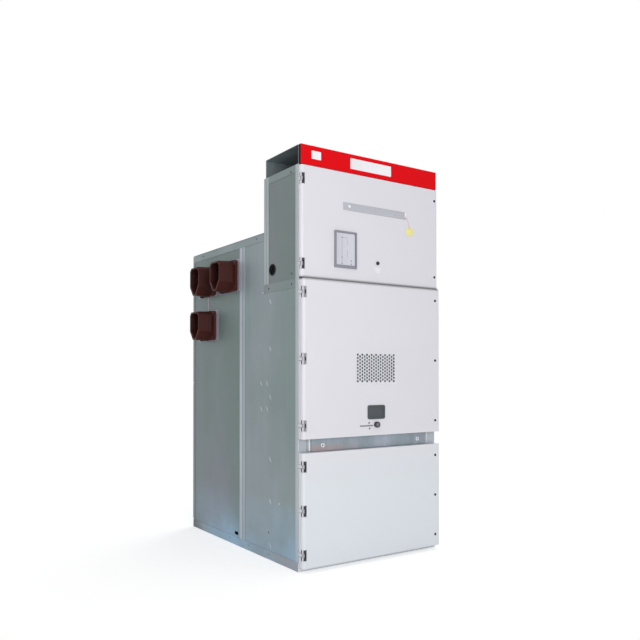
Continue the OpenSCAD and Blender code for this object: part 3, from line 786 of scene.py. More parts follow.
# Metals: colour, roughness, depth of the relief in mm, second colour, bloom, and the rest
METALS = {
    "galvanised_sheet": ("sheet", 0.46, 0.03, "sheet_green", SHEET_BLOOM, {
        "dust": 0.3, "edge": ((176, 182, 186), 1.2, 0.4), "Metallic": 0.5}),
    "cover_sheet": ("sheet", 0.46, 0.03, "rear_sheet", COVER_BLOOM, {
        "dust": 0.4, "edge": ((170, 176, 180), 1.2, 0.35), "Metallic": 0.5}),
    "rear_sheet": ("rear_sheet", 0.46, 0.03, "sheet_violet", {**SHEET_BLOOM, "Band Scale": 1.7}, {
        "dust": 0.3, "edge": ((170, 176, 180), 1.2, 0.4), "Metallic": 0.5}),
    "box_sheet": ("box_sheet", 0.46, 0.03, "rear_sheet", SHEET_BLOOM, {
        "dust": 0.2, "edge": ((176, 182, 186), 1.2, 0.4), "accent": bright_borders,
        "Metallic": 0.5}),
    "base_steel": ("sheet", 0.5, 0.03, "sheet_green", {**SHEET_BLOOM, "Band Stretch": 1.0}, {
        "dust": 0.3, "edge": ((150, 152, 156), 1.5, 0.3), "accent": tarnished_ends,
        "Metallic": 0.5}),
    "frame_sheet": ("frame", 0.42, 0.02, "sheet", {"Bands": 0.3, "Cast Share": 0.15}, {
        "dust": 0.2, "edge": FOLD, "Metallic": 0.4}),
    "seam_flange": ((182, 191, 198), 0.42, 0.02, "sheet", {"Bands": 0.5, "Cast Share": 0.2}, {
        "edge": FOLD, "accent": dull_front_flange, "Metallic": 0.4}),
    "beam_zinc": ("beam", 0.4, 0.03, "beam_patch", BEAM_BLOOM, {
        "edge": ((215, 218, 222), 1.2, 0.6), "accent": warm_corner, "Metallic": 0.4}),
    "zinc_plating": ("zinc", 0.34, 0.02, "zinc", {}, {"Metallic": 0.6}),
    "hinge_zinc": ((158, 160, 166), 0.4, 0.02, (158, 160, 166), {}, {"Metallic": 0.3}),
    # Near-white plating of the lock rings and bushes: a painted highlight.
    "bright_zinc": ((236, 238, 242), 0.4, 0.02, (236, 238, 242), {}, {"Metallic": 0.1}),
    "stainless_sheet": ("stainless", 0.4, 0.02, "stainless", {}, {"Metallic": 0.5}),
    "strip_metal": ("label_metal", 0.42, 0.01, "frame", STRIP_BLOOM, {"Metallic": 0.3}),
}

# Coats: colour, roughness, scale and clouds of the skin, its depth in mm, and the rest
COATS = {
    # The doors' coat carries painted light: a cool floor reflection low down and painted shade at
    # the upper joint.
    "grey_powder_coat": ("door", 0.42, 900.0, 0.03, 0.04, {
        "dust": 0.12, "edge": ((226, 226, 230), 1.6, 0.5), "accent": door_tones}),
    "shaded_coat": ((116, 115, 120), 0.5, 900.0, 0.06, 0.04, {"dust": 0.3}),
    "red_powder_coat": ("fascia", 0.6, 900.0, 0.04, 0.04, {
        "dust": 0.05, "edge": ((206, 24, 34), 1.2, 0.3), "Specular_IOR_Level": 0.12}),
    # The bushings take painted shade in their bores and painted highlights along their edges.
    "cast_epoxy": ("epoxy", 0.5, 160.0, 0.3, 0.15, {
        "shade": (0.22, 0.04), "edge": ((176, 128, 126), 1.3, 0.32),
        "Specular_IOR_Level": 0.16}),
    "soft_rubber": ("rubber", 0.8, 500.0, 0.2, 0.1, {"Specular_IOR_Level": 0.15}),
    # Dark strip in the seam's groove: painted shade.
    "seam_sealant": ((96, 102, 108), 0.7, 300.0, 0.2, 0.1, {"Specular_IOR_Level": 0.2}),
    "black_coat": ("black", 0.5, 800.0, 0.2, 0.05, {"Specular_IOR_Level": 0.25}),
    "hinge_coat": ("black", 0.45, 800.0, 0.1, 0.05, {"accent": pale_barrels}),
    "pale_hinge": ((142, 144, 150), 0.45, 800.0, 0.1, 0.05, {"accent": pale_barrels}),
    "knob_moulding": ("knob", 0.4, 1200.0, 0.15, 0.04, {}),
    # Lighter cap on the knob: a painted highlight.
    "knob_cap": ((104, 108, 110), 0.4, 1200.0, 0.1, 0.04, {}),
    "index_ink": ((126, 132, 134), 0.5, 1200.0, 0.3, 0.02, {}),
    "moulded_grey": ("grey_plastic", 0.5, 1200.0, 0.06, 0.04, {}),
    "indicator_film": ("indicator_face", 0.35, 1500.0, 0.06, 0.02, {}),
    "diagram_ink": ((168, 167, 182), 0.5, 1500.0, 0.2, 0.02, {}),
    "smoked_lamp": ((140, 139, 152), 0.25, 800.0, 0.2, 0.02, {"Coat_Weight": 0.4}),
    "white_plastic": ("white_plastic", 0.4, 1200.0, 0.02, 0.03, {}),
    "label_film": ((226, 226, 230), 0.35, 1200.0, 0.03, 0.02, {}),
    "tag_card": ("card", 0.7, 600.0, 0.12, 0.06, {}),
    "cotton_string": ("string", 0.85, 2600.0, 0.3, 0.3, {}),
    "smoked_pane": ("pane", 0.3, 200.0, 0.04, 0.002, {"Specular_IOR_Level": 0.12}),
}


def finish(name):
    """The material of a finish, made the first time that it is asked for."""
    if name in bpy.data.materials:
        return bpy.data.materials[name]
    make, table = (metal_finish, METALS) if name in METALS else (coat_finish, COATS)
    *values, more = table[name]
    return make(name, *values, **more)


def dress(look, *nodes):
    """Gives CAD nodes a finish."""
    for name in nodes:
        mesh = NODES[name].data
        mesh.materials.clear()
        mesh.materials.append(finish(look))


# ---- The tag and its string ----

# The string's route, in X and Z from the middle of the label strip's right end
STRING_ROUTE = [
    (-2, 14), (-1, 8), (0.6, 2), (2.6, -4), (4.8, -10), (7.2, -16), (9.8, -22), (12.5, -28),
    (15.2, -34), (17.8, -40), (20.2, -46), (22.4, -52), (24.2, -58), (25.6, -64), (26.6, -70),
]


class CUBICLE_OT_tag(bpy.types.Operator):
    """Tie the round tag to the label strip with its string."""

    bl_idname = "cubicle.tag"
    bl_label = "Tag and String"

    def execute(self, context):
        diameter = context.scene.cubicle_sizes.string_diameter
        low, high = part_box("label_strip")
        y = low[1] - diameter / 2 - 0.3 * MM
        level = (low[2] + high[2]) / 2
        route = [Vector((high[0] + x * MM, y, level + z * MM)) for x, z in STRING_ROUTE]
        string = self.string(route, diameter)
        tag = self.tag(route[-1])
        knot = self.knot(route[-1], diameter)
        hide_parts("tag_string")
        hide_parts("tag")
        return {"FINISHED"}

    def string(self, route, diameter):
        curve = bpy.data.curves.new("tag_string_line", "CURVE")
        curve.dimensions = "3D"
        curve.bevel_depth = diameter / 2
        curve.bevel_resolution = 4
        curve.use_fill_caps = True
        spline = curve.splines.new("POLY")
        spline.points.add(len(route) - 1)
        for point, place in zip(spline.points, route):
            point.co = (*place, 1)
        string = bpy.data.objects.new("tag_string_line", curve)
        bpy.context.collection.objects.link(string)
        return settle(string, "instrument_door", "cotton_string")

    def tag(self, eye):
        """A round card with a punched eye near its top."""
        low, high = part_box("tag")
        x, z = middle_of("tag")
        tag = add_round("round_tag", (high[0] - low[0]) / 2, low[1], high[1], 64, x, z)
        hole = add_round("eye", 2.2 * MM, low[1] - 0.01, high[1] + 0.01, 24, eye.x, eye.z)
        cut_with(tag, hole)
        soften(tag, 0.3 * MM)
        return settle(tag, "instrument_door", "tag_card")

    def knot(self, eye, diameter):
        """Two turns of the string, drawn tight through the tag's eye."""
        turns = []
        for lean, lift in ((20, 0.0), (-35, 0.7)):
            clear_selection()
            bpy.ops.mesh.primitive_torus_add(
                major_radius=1.1 * diameter, minor_radius=0.45 * diameter,
                major_segments=24, minor_segments=10,
                location=(eye.x, eye.y, eye.z + lift * diameter),
                rotation=(0, math.radians(90 + lean), math.radians(90)))
            turns.append(keep_as("turn"))
        knot = join_pieces("string_knot", turns)
        activate(knot)
        bpy.ops.object.shade_smooth()
        return settle(knot, "instrument_door", "cotton_string")


# ---- Finishes of the cabinet's own nodes ----


class CUBICLE_OT_sheet_metal(bpy.types.Operator):
    """Finish the cabinet's sheets, frame and plated parts."""

    bl_idname = "cubicle.sheet_metal"
    bl_label = "Sheet Metal"

    def execute(self, context):
        dress("galvanised_sheet", "top_rails", "left_front_panel", "right_front_panel")
        dress("cover_sheet", "roof_sheet", "relief_flaps", "floor_plates", "breaker_floor",
              "rear_partition", "instrument_floor", "instrument_shell", "bus_hood", "vent_baffle")
        dress("rear_sheet", "left_rear_panel", "right_rear_panel", "rear_posts")
        dress("box_sheet", "instrument_walls")
        dress("base_steel", "base_frame")
        dress("frame_sheet", "front_posts")
        dress("seam_flange", "mid_posts")
        dress("beam_zinc", "docking_beam")
        dress("zinc_plating", "guide_rails", "shutters")
        dress("hinge_zinc", "hinge_brackets")
        # The docking bushes are near white: a painted highlight.
        dress("bright_zinc", "docking_bushes")
        self.seam_beads()
        return {"FINISHED"}

    def seam_beads(self):
        """A dark strip between the two flanges of each side's seam: painted shade in its groove."""
        low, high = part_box("mid_posts")
        seam = (low[1] + high[1]) / 2
        outer, inner, half = high[0] - 0.6 * MM, high[0] - 4 * MM, 2.2 * MM
        corners = [((x0, seam - half, low[2]), (x1, seam + half, high[2]))
                   for x0, x1 in ((-outer, -inner), (inner, outer))]
        settle_blocks("seam_beads", corners, 0.8 * MM, "cabinet", "seam_sealant")


class CUBICLE_OT_painted_panels(bpy.types.Operator):
    """Finish the painted doors and the fascia."""

    bl_idname = "cubicle.painted_panels"
    bl_label = "Painted Panels"

    def execute(self, context):
        dress("grey_powder_coat", "upper_door", "middle_door", "lower_door", "vent_grille")
        dress("red_powder_coat", "fascia")
        return {"FINISHED"}


class CUBICLE_OT_bushings(bpy.types.Operator):
    """Cast the busbar bushings and bolt them and their plates to the side."""

    bl_idname = "cubicle.bushings"
    bl_label = "Bushings"

    def execute(self, context):
        sizes = context.scene.cubicle_sizes
        mouth_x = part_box("bushings")[0][0]
        root_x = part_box("bushing_plates")[0][0]
        out = root_x - mouth_x
        places = [(root_x, y, z) for y, z in BUSHING_PLACES]
        half_w, half_h = BUSHING_W / 2, BUSHING_H / 2
        body = self.cast_block("bushing_body", half_w + DRAFT, half_h + DRAFT, -out, 0)
        pick_faces(body, lambda centre, normal: normal.y < -0.9)
        bpy.ops.transform.resize(
            value=(half_w / (half_w + DRAFT), 1, half_h / (half_h + DRAFT)),
            center_override=(0, -out, 0))
        close_edit()
        flange = add_block(
            "bushing_flange",
            (-half_w - EAR, -FLANGE_T, -half_h - 5 * MM), (half_w + EAR, 0, half_h + 5 * MM))
        pick_edges(flange, lambda middle, along: abs(along.y) > 0.9)
        bpy.ops.mesh.bevel(offset=12 * MM, segments=1)
        close_edit()
        cut_with(body, flange, "UNION")
        bore = self.cast_block("bore", half_w - WALL, half_h - WALL, -out - 0.01, 0.01)
        cut_with(body, bore)
        soften(body, sizes.bushing_edge, segments=3)
        bushings = place_all("busbar_bushings", body, places, "cabinet", "cast_epoxy",
                             "left")
        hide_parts("bushings")
        dress("stainless_sheet", "bushing_plates")
        heads = [
            (root_x - FLANGE_T, y + side * (half_w + 0.6 * EAR), z + level * 0.36 * BUSHING_H)
            for y, z in BUSHING_PLACES for side in (-1, 1) for level in (-1, 1)
        ]
        place_all("bushing_bolts", bolt_seed(sizes.bolt_radius), heads, "cabinet", "cast_epoxy",
                  "left")
        return {"FINISHED"}

    def cast_block(self, name, half_w, half_h, y0, y1):
        """A block along Y with its top corners cut a little and its lower ones a lot."""
        block = add_block(name, (-half_w, y0, -half_h), (half_w, y1, half_h))
        for side in (-1, 1):
            trim(block, (side * half_w, 0, half_h - TOP_CUT), (side, 0, 1))
            trim(block, (side * half_w, 0, -half_h + LOW_CUT),
                 (side * LOW_CUT, 0, -LOW_CUT * LOW_SLOPE))
        return block


class CUBICLE_OT_hinge_trims(bpy.types.Operator):
    """Trim the hinges: fill the ends of their notches and cover their arms."""

    bl_idname = "cubicle.hinge_trims"
    bl_label = "Hinge Trims"

    def execute(self, context):
        sizes = context.scene.cubicle_sizes
        near, far = NOTCH_GAP
        for door, (body, _) in DOORS.items():
            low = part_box(door)[0]
            levels = levels_along(door, sizes.hinge_end)
            filler = add_block(
                "filler", (low[0] + 0.6 * MM, low[1] + 1.5 * MM, near),
                (low[0] + sizes.notch_width - 0.3 * MM, low[1] + 19 * MM, far))
            soften(filler, 0.4 * MM)
            places = [(0, 0, z) for z in levels] + [(0, 0, z - near - far) for z in levels]
            place_all(f"{door}_notch_fillers", filler, places, body, "grey_powder_coat")
            cover = add_block("cover", (low[0] + 0.5 * MM, low[1] + 17.5 * MM, -9.2 * MM),
                              (low[0] + 5.4 * MM, FRONT - 2.5 * MM, 9.2 * MM))
            soften(cover, 0.8 * MM)
            place_all(f"{door}_arm_covers", cover, [(0, 0, z) for z in levels], "cabinet",
                      "grey_powder_coat")
        return {"FINISHED"}


class CUBICLE_OT_front_fillers(bpy.types.Operator):
    """Close the fascia's ends with dark blocks of painted shade, fill the doors' joint with a strip
    of painted shade, close the beam's ends and face the plinth.
    """

    bl_idname = "cubicle.front_fillers"
    bl_label = "Front Fillers"

    # At each end of the beam: a piece's inner and outer X from the middle, in mm, and its finish
    BEAM_ENDS = (("beam_end_plates", 433, 441.5, "frame_sheet"),
                 ("beam_end_strips", 421.5, 432.5, "grey_powder_coat"))
    PLINTH = (1 * MM, 48 * MM)

    def execute(self, context):
        # Dark blocks at the fascia's ends: painted shade.
        low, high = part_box("fascia")
        inset, width = 2 * MM, 12 * MM
        corners = [((x, low[1] + inset, low[2] + inset),
                    (x + width, FRONT - 0.5 * MM, high[2] - inset))
                   for x in (low[0], high[0] - width)]
        settle_blocks("fascia_end_seals", corners, 0.8 * MM, "cabinet", "soft_rubber")
        # A strip in a darkened door coat: painted shade in the joint between the upper doors.
        low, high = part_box("middle_door")
        corners = ((low[0] + 12 * MM, low[1] + 7 * MM, high[2]),
                   (high[0] - 12 * MM, low[1] + 30 * MM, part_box("upper_door")[0][2] - 0.8 * MM))
        settle_blocks("door_step_seal", [corners], 1 * MM, "breaker_door", "shaded_coat")
        foot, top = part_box("lower_door")[1][2] + 4 * MM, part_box("middle_door")[0][2] - 4 * MM
        for name, near, far, look in self.BEAM_ENDS:
            corners = [((x0 * MM, FRONT - 3 * MM, foot), (x1 * MM, FRONT + 1 * MM, top))
                       for x0, x1 in ((-far, -near), (near, far))]
            settle_blocks(name, corners, 0.8 * MM, "cabinet", look)
        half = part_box("base_frame")[1][0]
        foot, top = self.PLINTH
        corners = ((-half, FRONT - 1.5 * MM, foot), (half, FRONT, top))
        settle_blocks("front_plinth", [corners], 0.5 * MM, "cabinet", "grey_powder_coat")
        return {"FINISHED"}


class CUBICLE_OT_side_fixings(bpy.types.Operator):
    """Press the slanted tabs out of the side walls and rivet the inner supports to them."""

    bl_idname = "cubicle.side_fixings"
    bl_label = "Side Fixings"

    def execute(self, context):
        sizes = context.scene.cubicle_sizes
        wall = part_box("right_front_panel")[1][0]
        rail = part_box("top_rails")[1][0]
        for side, way in (("left", -1), ("right", 1)):
            for name, seed, x, spots, look, slot in (
                ("pressed_tabs", self.lance_seed(sizes.lance_length, sizes.lance_width),
                 wall, TABS, "frame_sheet", "galvanised"),
                ("side_rivets", rivet_seed(sizes.rivet_radius),
                 wall, RIVETS, "zinc_plating", "zinc_plated"),
                ("rail_screws", screw_seed(sizes.rivet_radius),
                 rail, RAIL_SCREWS, "black_coat", "black_metal"),
            ):
                places = [(way * x, FRONT + y, z) for y, z in spots]
                place_all(f"{side}_{name}", seed, places, "cabinet", look, side)
        return {"FINISHED"}

    def lance_seed(self, length, width):
        """A long low dome that slants down to the right."""
        clear_selection()
        bpy.ops.mesh.primitive_uv_sphere_add(segments=20, ring_count=12, radius=1)
        lance = keep_as("pressed_tab")
        trim(lance, (0, 0, 0), (0, 1, 0))
        activate(lance)
        bpy.ops.transform.resize(
            value=(length / 2, TAB_RISE, width / 2), center_override=(0, 0, 0))
        bpy.ops.object.transform_apply(location=False, rotation=True, scale=True)
        lance.matrix_world = Matrix.Rotation(math.radians(TAB_SLANT), 4, "Y")
        bpy.ops.object.transform_apply(location=True, rotation=True, scale=True)
        return smooth(lance)


class CUBICLE_OT_cover_bolts(bpy.types.Operator):
    """Fold the rear covers and screw them and the relief flaps down."""

    bl_idname = "cubicle.cover_bolts"
    bl_label = "Cover Bolts"

    def execute(self, context):
        sizes = context.scene.cubicle_sizes
        places = []
        for node in ("rear_cover_lower", "rear_cover_upper"):
            low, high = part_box(node)
            high = high - Vector((0, SCREW_HIGH, 0))
            self.folded_cover(node, low, high)
            left, right = low[0] + SCREW_INSET, high[0] - SCREW_INSET
            foot, top = low[2] + SCREW_INSET, high[2] - SCREW_INSET
            for share in (0, 1 / 3, 2 / 3, 1):
                z = foot + share * (top - foot)
                places += [(x, high[1], z) for x in (left, right)]
            for share in (0.25, 0.5, 0.75):
                x = low[0] + share * (high[0] - low[0])
                places += [(x, high[1], z) for z in (foot, top)]
        place_all("rear_cover_screws", screw_seed(sizes.cover_bolt), places, "cabinet",
                  "zinc_plating", "back")
        self.flap_screws(sizes)
        return {"FINISHED"}

    def folded_cover(self, node, low, high):
        """A shallow pan of thin sheet, open to the front, that leaves room for its screws."""
        pan = add_block(f"{node}_pan", low, high)
        sheet = COVER_SHEET
        cut_with(pan, add_block("hollow", low + Vector((sheet, -sheet, sheet)),
                                high - Vector((sheet, sheet, sheet))))
        soften(pan, 0.8 * MM)
        settle(pan, "cabinet", "cover_sheet")
        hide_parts(node)

    def flap_screws(self, sizes):
        """Steel screws along the hinged edge of each flap, nylon ones along the other."""
        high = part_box("relief_flaps")[1]
        half, top = high[0] - 10 * MM, high[2]
        flaps = NODES["relief_flaps"].data
        edges = sorted({round(vertex.co.y, 5) for vertex in flaps.vertices})
        hinged, free = [], []
        for front, rear in zip(edges[0::2], edges[1::2]):
            for step in range(6):
                x = -half + step * 2 * half / 5
                hinged.append((x, front + 8 * MM, top))
                free.append((x, rear - 8 * MM, top))
        place_all("flap_steel_screws", bolt_seed(sizes.cover_bolt), hinged, "cabinet",
                  "zinc_plating", "up")
        place_all("flap_nylon_screws", rivet_seed(sizes.cover_bolt), free, "cabinet",
                  "white_plastic", "up")


class CUBICLE_OT_door_locks(bpy.types.Operator):
    """Set the round locks into the doors' right edges."""

    bl_idname = "cubicle.door_locks"
    bl_label = "Door Locks"

    def execute(self, context):
        sizes = context.scene.cubicle_sizes
        for door, (body, _) in DOORS.items():
            low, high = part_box(door)
            x = high[0] - sizes.lock_inset + (UPPER_LOCK_SHIFT if door == "upper_door" else 0)
            places = [(x, low[1], z) for z in levels_along(door, sizes.lock_end)]
            # The lock rings are near white: a painted highlight.
            ring = add_round("lock_ring", sizes.lock_ring, -2.2 * MM, 0, 28)
            sink_front(ring, sizes.lock_ring - sizes.lock_radius, 1.4 * MM)
            soften(ring, 0.5 * MM)
            place_all(f"{door}_lock_rings", ring, places, body, "bright_zinc")
            core = add_round("lock_core", sizes.lock_radius - 0.2 * MM, -3.4 * MM, -0.7 * MM, 28)
            slot = add_block("slot", (-1.1 * MM, -0.01, -4.5 * MM), (1.1 * MM, -2 * MM, 4.5 * MM))
            cut_with(core, slot)
            soften(core, 0.4 * MM)
            place_all(f"{door}_lock_cores", core, places, body, "black_coat")
        return {"FINISHED"}


class CUBICLE_OT_front_plates(bpy.types.Operator):
    """Fix the blank plates to the fascia and the instrument door."""

    bl_idname = "cubicle.front_plates"
    bl_label = "Front Plates"

    # The fascia's plates: X of their middle, height above its foot, width and height, in mm
    FASCIA_PLATES = (("left_blank_plate", -395, 59, 62, 44),
                     ("middle_blank_plate", -14, 55, 297, 60))

    def execute(self, context):
        thick = context.scene.cubicle_sizes.plate_thickness
        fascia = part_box("fascia")[0]
        for name, x, level, width, height in self.FASCIA_PLATES:
            plate = self.plate(name, fascia[1], thick, x, fascia[2] + level * MM, width, height)
            settle(plate, "cabinet", "white_plastic")
        door_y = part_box("upper_door")[0][1]
        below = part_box("door_lock")[0][2] - 29 * MM
        label = self.plate("lock_blank_label", door_y, 0.5 * MM, 22, below, 45, 33)
        settle(label, "instrument_door", "label_film")
        strip_low, strip_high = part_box("label_strip")
        level = (strip_low[2] + strip_high[2]) / 2
        dot = add_round("strip_stud", 8.5 * MM, strip_low[1] - 1.8 * MM, strip_low[1], 24,
                        strip_low[0] + 41 * MM, level + 2 * MM)
        soften(dot, 1.2 * MM, segments=3)
        settle(dot, "instrument_door", "white_plastic")
        clip = add_block(
            "strip_clip", (strip_high[0] - 10 * MM, strip_low[1] - 2 * MM, level - 8 * MM),
            (strip_high[0] - 1 * MM, strip_low[1], level + 19 * MM))
        sink_front(clip, 1.5 * MM, 0.6 * MM)
        soften(clip, 0.5 * MM)
        settle(clip, "instrument_door", "white_plastic")
        self.strip_rims(strip_low, strip_high)
        return {"FINISHED"}

    def plate(self, name, face_y, thick, x, z, width, height):
        """A plate with round corners and a shallow rim, centred on a place; sizes in mm."""
        x, width, height = x * MM, width * MM, height * MM
        plate = add_block(name, (x - width / 2, face_y - thick, z - height / 2),
                          (x + width / 2, face_y, z + height / 2))
        pick_edges(plate, lambda middle, along: abs(along.y) > 0.9)
        bpy.ops.mesh.bevel(offset=3 * MM, segments=4)
        close_edit()
        sink_front(plate, 1.2 * MM, 0.2 * thick)
        return soften(plate, 0.12 * thick)

    def strip_rims(self, low, high):
        """The folded long edges of the label strip."""
        corners = [((low[0], low[1] - 0.8 * MM, z), (high[0], low[1], z + 3 * MM))
                   for z in (low[2], high[2] - 3 * MM)]
        settle_blocks("strip_rims", corners, 0.35 * MM, "instrument_door", "strip_metal")


class CUBICLE_OT_indicator(bpy.types.Operator):
    """Fit the status indicator's film, its diagram lines and its lamps."""

    bl_idname = "cubicle.indicator"
    bl_label = "Status Indicator"

    # The diagram's strokes and the lamps: X and Z from the middle, width and height, in mm
    STROKES = [(-26, 10, 3, 92), (-26, -62, 3, 22), (10, 42, 3, 30), (-8, 66, 40, 3),
               (10, -20, 3, 40)]
    LAMPS = [(-26, 66), (-26, -44), (-26, -78), (38, -60), (38, -78)]

    def execute(self, context):
        low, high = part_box("status_indicator")
        side, top, foot = 12 * MM, 11 * MM, 16 * MM
        sunk = high[1] - 6 * MM
        film = add_block("indicator_film", (low[0] + side, sunk - 1.2 * MM, low[2] + foot),
                         (high[0] - side, sunk, high[2] - top))
        sink_front(film, 4 * MM, 0.5 * MM)
        soften(film, 0.4 * MM)
        settle(film, "instrument_door", "indicator_film")
        face = sunk - 0.7 * MM
        centre = Vector(middle_of("status_indicator"))
        corners = []
        for *place, width, height in self.STROKES:
            x, z = centre + Vector(place) * MM
            reach_x, reach_z = width / 2 * MM, height / 2 * MM
            corners.append(((x - reach_x, face - 0.3 * MM, z - reach_z),
                            (x + reach_x, face, z + reach_z)))
        settle_blocks("indicator_lines", corners, 0.12 * MM, "instrument_door", "diagram_ink")
        lamp = add_round("lamp", 4 * MM, -1.6 * MM, 0, 20)
        soften(lamp, 1.0 * MM, segments=3)
        places = [(centre.x + x * MM, face, centre.y + z * MM) for x, z in self.LAMPS]
        place_all("indicator_lamps", lamp, places, "instrument_door", "smoked_lamp")
        return {"FINISHED"}


class CUBICLE_OT_knob(bpy.types.Operator):
    """Turn the knob of the breaker door's bolt work and lay its index line."""

    bl_idname = "cubicle.knob"
    bl_label = "Door Knob"

    # The two slanted marks by the knob: X, and Z from the knob's middle, in mm
    MARKS = ((-52, 11), (-48, -20))
    MARK_SLANT = -35

    def execute(self, context):
        low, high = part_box("door_knob")
        x, z = middle_of("door_knob")
        radius = (high[0] - low[0]) / 2
        knob = add_round("turning_knob", radius, low[1], high[1], 40, x, z)
        sink_front(knob, 0.24 * radius, 3 * MM)
        soften(knob, 1.0 * MM)
        settle(knob, "breaker_door", "knob_moulding")
        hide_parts("door_knob")
        # A lighter cap on the knob's face: a painted highlight.
        cap = add_round("knob_cap", 0.7 * radius, low[1] + 1.2 * MM, low[1] + 3 * MM, 32, x, z)
        sink_front(cap, 2 * MM, 0.4 * MM)
        soften(cap, 0.5 * MM)
        settle(cap, "breaker_door", "knob_cap")
        door_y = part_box("middle_door")[0][1]
        arrow = add_block("index", (-118 * MM, door_y - 0.8 * MM, z - 9 * MM),
                          (-24 * MM, door_y, z - 1 * MM))
        marks = [soften(arrow, 0.3 * MM)]
        for middle_x, middle_z in self.MARKS:
            mark = add_block("mark", (-6 * MM, door_y - 0.8 * MM, -5 * MM),
                             (6 * MM, door_y, 5 * MM))
            mark.matrix_world = (Matrix.Translation((middle_x * MM, 0, z + middle_z * MM))
                                 @ Matrix.Rotation(math.radians(self.MARK_SLANT), 4, "Y"))
            marks.append(soften(mark, 0.3 * MM))
        settle(join_pieces("knob_index", marks), "breaker_door", "index_ink")
        return {"FINISHED"}


class CUBICLE_OT_dark_parts(bpy.types.Operator):
    """Finish the hinges, the grommets, the lock, the indicator's rim and the window."""

    bl_idname = "cubicle.dark_parts"
    bl_label = "Dark Parts"

    def execute(self, context):
        dress("hinge_coat", "upper_door_hinges", "lower_door_hinges")
        dress("pale_hinge", "middle_door_hinges")
        dress("black_coat", "door_lock")
        dress("soft_rubber", "cable_grommets")
        dress("moulded_grey", "status_indicator")
        dress("strip_metal", "label_strip")
        dress("smoked_pane", "window_pane", "window_frame")
        return {"FINISHED"}


# ---- Stage ----


class CUBICLE_OT_camera(bpy.types.Operator):
    """Place the camera in front of the cubicle and to its left."""

    bl_idname = "cubicle.camera"
    bl_label = "Camera"

    def execute(self, context):
        stage = context.scene.cubicle_stage
        clear_selection()
        bpy.ops.object.camera_add(
            location=stage.camera_place,
            rotation=(math.radians(90) + stage.camera_rise, 0, -stage.camera_turn))
        camera = context.object
        camera.name = "stage_camera"
        camera.data.lens = stage.lens
        camera.data.shift_x, camera.data.shift_y = CAMERA_SHIFT
        camera.data.clip_end = 200
        context.scene.camera = camera
        return {"FINISHED"}


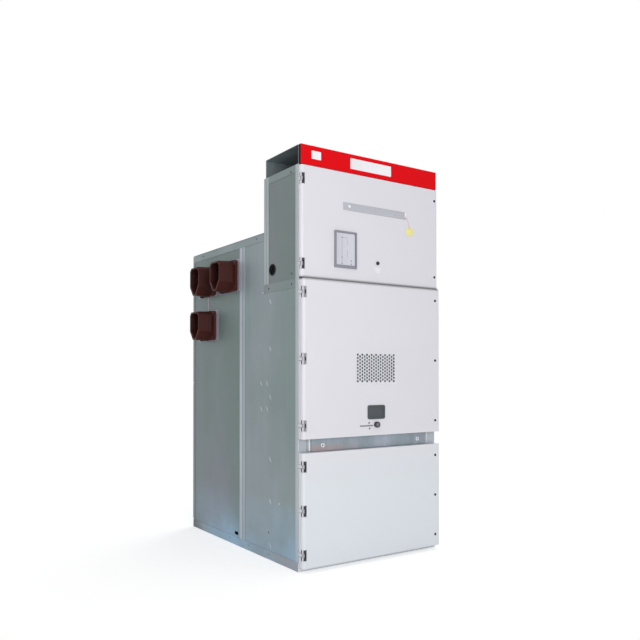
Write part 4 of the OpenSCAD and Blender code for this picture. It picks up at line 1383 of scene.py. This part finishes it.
class CUBICLE_OT_stage(bpy.types.Operator):
    """Set up the floor, the lights and the plain pale surroundings."""

    bl_idname = "cubicle.stage"
    bl_label = "Stage"

    # The lights: where they stand, and the width of each
    KEY_PLACE, FILL_PLACE, LIGHT_WIDTH = (-2.9, -5.5, 1.7), (4.5, 3.5, 4.0), 4.0
    # How far the floor lies under the cubicle's foot
    FLOOR_DROP = 0.6 * MM

    def execute(self, context):
        stage = context.scene.cubicle_stage
        clear_selection()
        bpy.ops.mesh.primitive_circle_add(
            vertices=stage.floor_sides, radius=stage.floor_radius, fill_type="NGON",
            location=(0, 0, -self.FLOOR_DROP))
        floor = keep_as("stage_floor")
        floor.data.materials.append(self.pale_floor())
        self.light(context, "key_light", self.KEY_PLACE, stage.key_power)
        self.light(context, "fill_light", self.FILL_PLACE, stage.fill_power)
        self.surround(context.scene, stage.sky)
        context.scene.view_settings.view_transform = "Standard"
        return {"FINISHED"}

    def seen(self, shades):
        """One for the rays that show the surroundings, and zero for those that light."""
        path = shades.add("ShaderNodeLightPath").outputs
        seen = shades.math("MAXIMUM", path["Is Camera Ray"], path["Is Glossy Ray"])
        return shades.math("MAXIMUM", seen, path["Is Transmission Ray"])

    def pale_floor(self):
        """A floor that keeps the cubicle's shadow and turns white further out."""
        material, shades = new_material("pale_floor")
        here = shades.here()
        away = shades.add("ShaderNodeVectorMath", {0: here}, operation="LENGTH").outputs["Value"]
        seen = self.seen(shades)
        cloth = shades.add("ShaderNodeBsdfDiffuse", {"Color": (0.8, 0.8, 0.81, 1.0)})
        lift = shades.add("ShaderNodeEmission", {
            "Color": (1, 1, 1, 1), "Strength": shades.times(seen, 0.46)})
        near = shades.add("ShaderNodeAddShader", {0: cloth.outputs[0], 1: lift.outputs[0]})
        far = shades.add("ShaderNodeEmission", {"Color": (1, 1, 1, 1), "Strength": 1.0})
        share = shades.times(seen, shades.ramp(away, (0.8, 2.2, 0.0, 1.0)))
        both = shades.add("ShaderNodeMixShader", {0: share, 1: near.outputs[0], 2: far.outputs[0]})
        shades.add("ShaderNodeOutputMaterial", {"Surface": both.outputs[0]})
        return material

    def light(self, context, name, place, power):
        clear_selection()
        bpy.ops.object.light_add(type="AREA", location=place)
        lamp = context.object
        lamp.name = name
        lamp.data.shape = "DISK"
        lamp.data.size = self.LIGHT_WIDTH
        lamp.data.energy = power
        aim = Vector(AIM) - Vector(place)
        lamp.rotation_euler = aim.to_track_quat("-Z", "Y").to_euler()

    def surround(self, scene, level):
        """White where it is seen, softer where it lights."""
        world = bpy.data.worlds.new("pale_surround")
        scene.world = world
        world.use_nodes = True
        shades = Shades(world.node_tree)
        strength = shades.ramp(self.seen(shades), (0.0, 1.0, level, 1.0))
        back = shades.add("ShaderNodeBackground", {"Color": (1, 1, 1, 1), "Strength": strength})
        shades.add("ShaderNodeOutputWorld", {"Surface": back.outputs[0]})


class CUBICLE_PT_panel(bpy.types.Panel):
    """Lists the cubicle's sizes, colours and building steps."""

    bl_label = "Cubicle"
    bl_idname = "CUBICLE_PT_panel"
    bl_space_type = "VIEW_3D"
    bl_region_type = "UI"
    bl_category = "Cubicle"

    def draw(self, context):
        for group in (context.scene.cubicle_finishes, context.scene.cubicle_sizes,
                      context.scene.cubicle_stage):
            box = self.layout.box()
            for name in group.bl_rna.properties.keys():
                if name not in ("rna_type", "name"):
                    box.prop(group, name)
        for step in STEPS:
            self.layout.operator(step.bl_idname)


STEPS = (
    CUBICLE_OT_camera,
    CUBICLE_OT_tag,
    CUBICLE_OT_sheet_metal,
    CUBICLE_OT_painted_panels,
    CUBICLE_OT_bushings,
    CUBICLE_OT_hinge_trims,
    CUBICLE_OT_front_fillers,
    CUBICLE_OT_side_fixings,
    CUBICLE_OT_cover_bolts,
    CUBICLE_OT_door_locks,
    CUBICLE_OT_front_plates,
    CUBICLE_OT_indicator,
    CUBICLE_OT_knob,
    CUBICLE_OT_dark_parts,
    CUBICLE_OT_stage,
)
GROUPS = (CubicleFinishes, CubicleSizes, CubicleStage)


def register():
    for item in (*GROUPS, *STEPS, CUBICLE_PT_panel):
        bpy.utils.register_class(item)
    bpy.types.Scene.cubicle_finishes = PointerProperty(type=CubicleFinishes)
    bpy.types.Scene.cubicle_sizes = PointerProperty(type=CubicleSizes)
    bpy.types.Scene.cubicle_stage = PointerProperty(type=CubicleStage)


def unregister():
    del bpy.types.Scene.cubicle_stage
    del bpy.types.Scene.cubicle_sizes
    del bpy.types.Scene.cubicle_finishes
    for item in reversed((*GROUPS, *STEPS, CUBICLE_PT_panel)):
        bpy.utils.unregister_class(item)


def main():
    register()
    for step in STEPS:
        group, name = step.bl_idname.split(".")
        getattr(getattr(bpy.ops, group), name)()


if __name__ == "__main__":
    main()
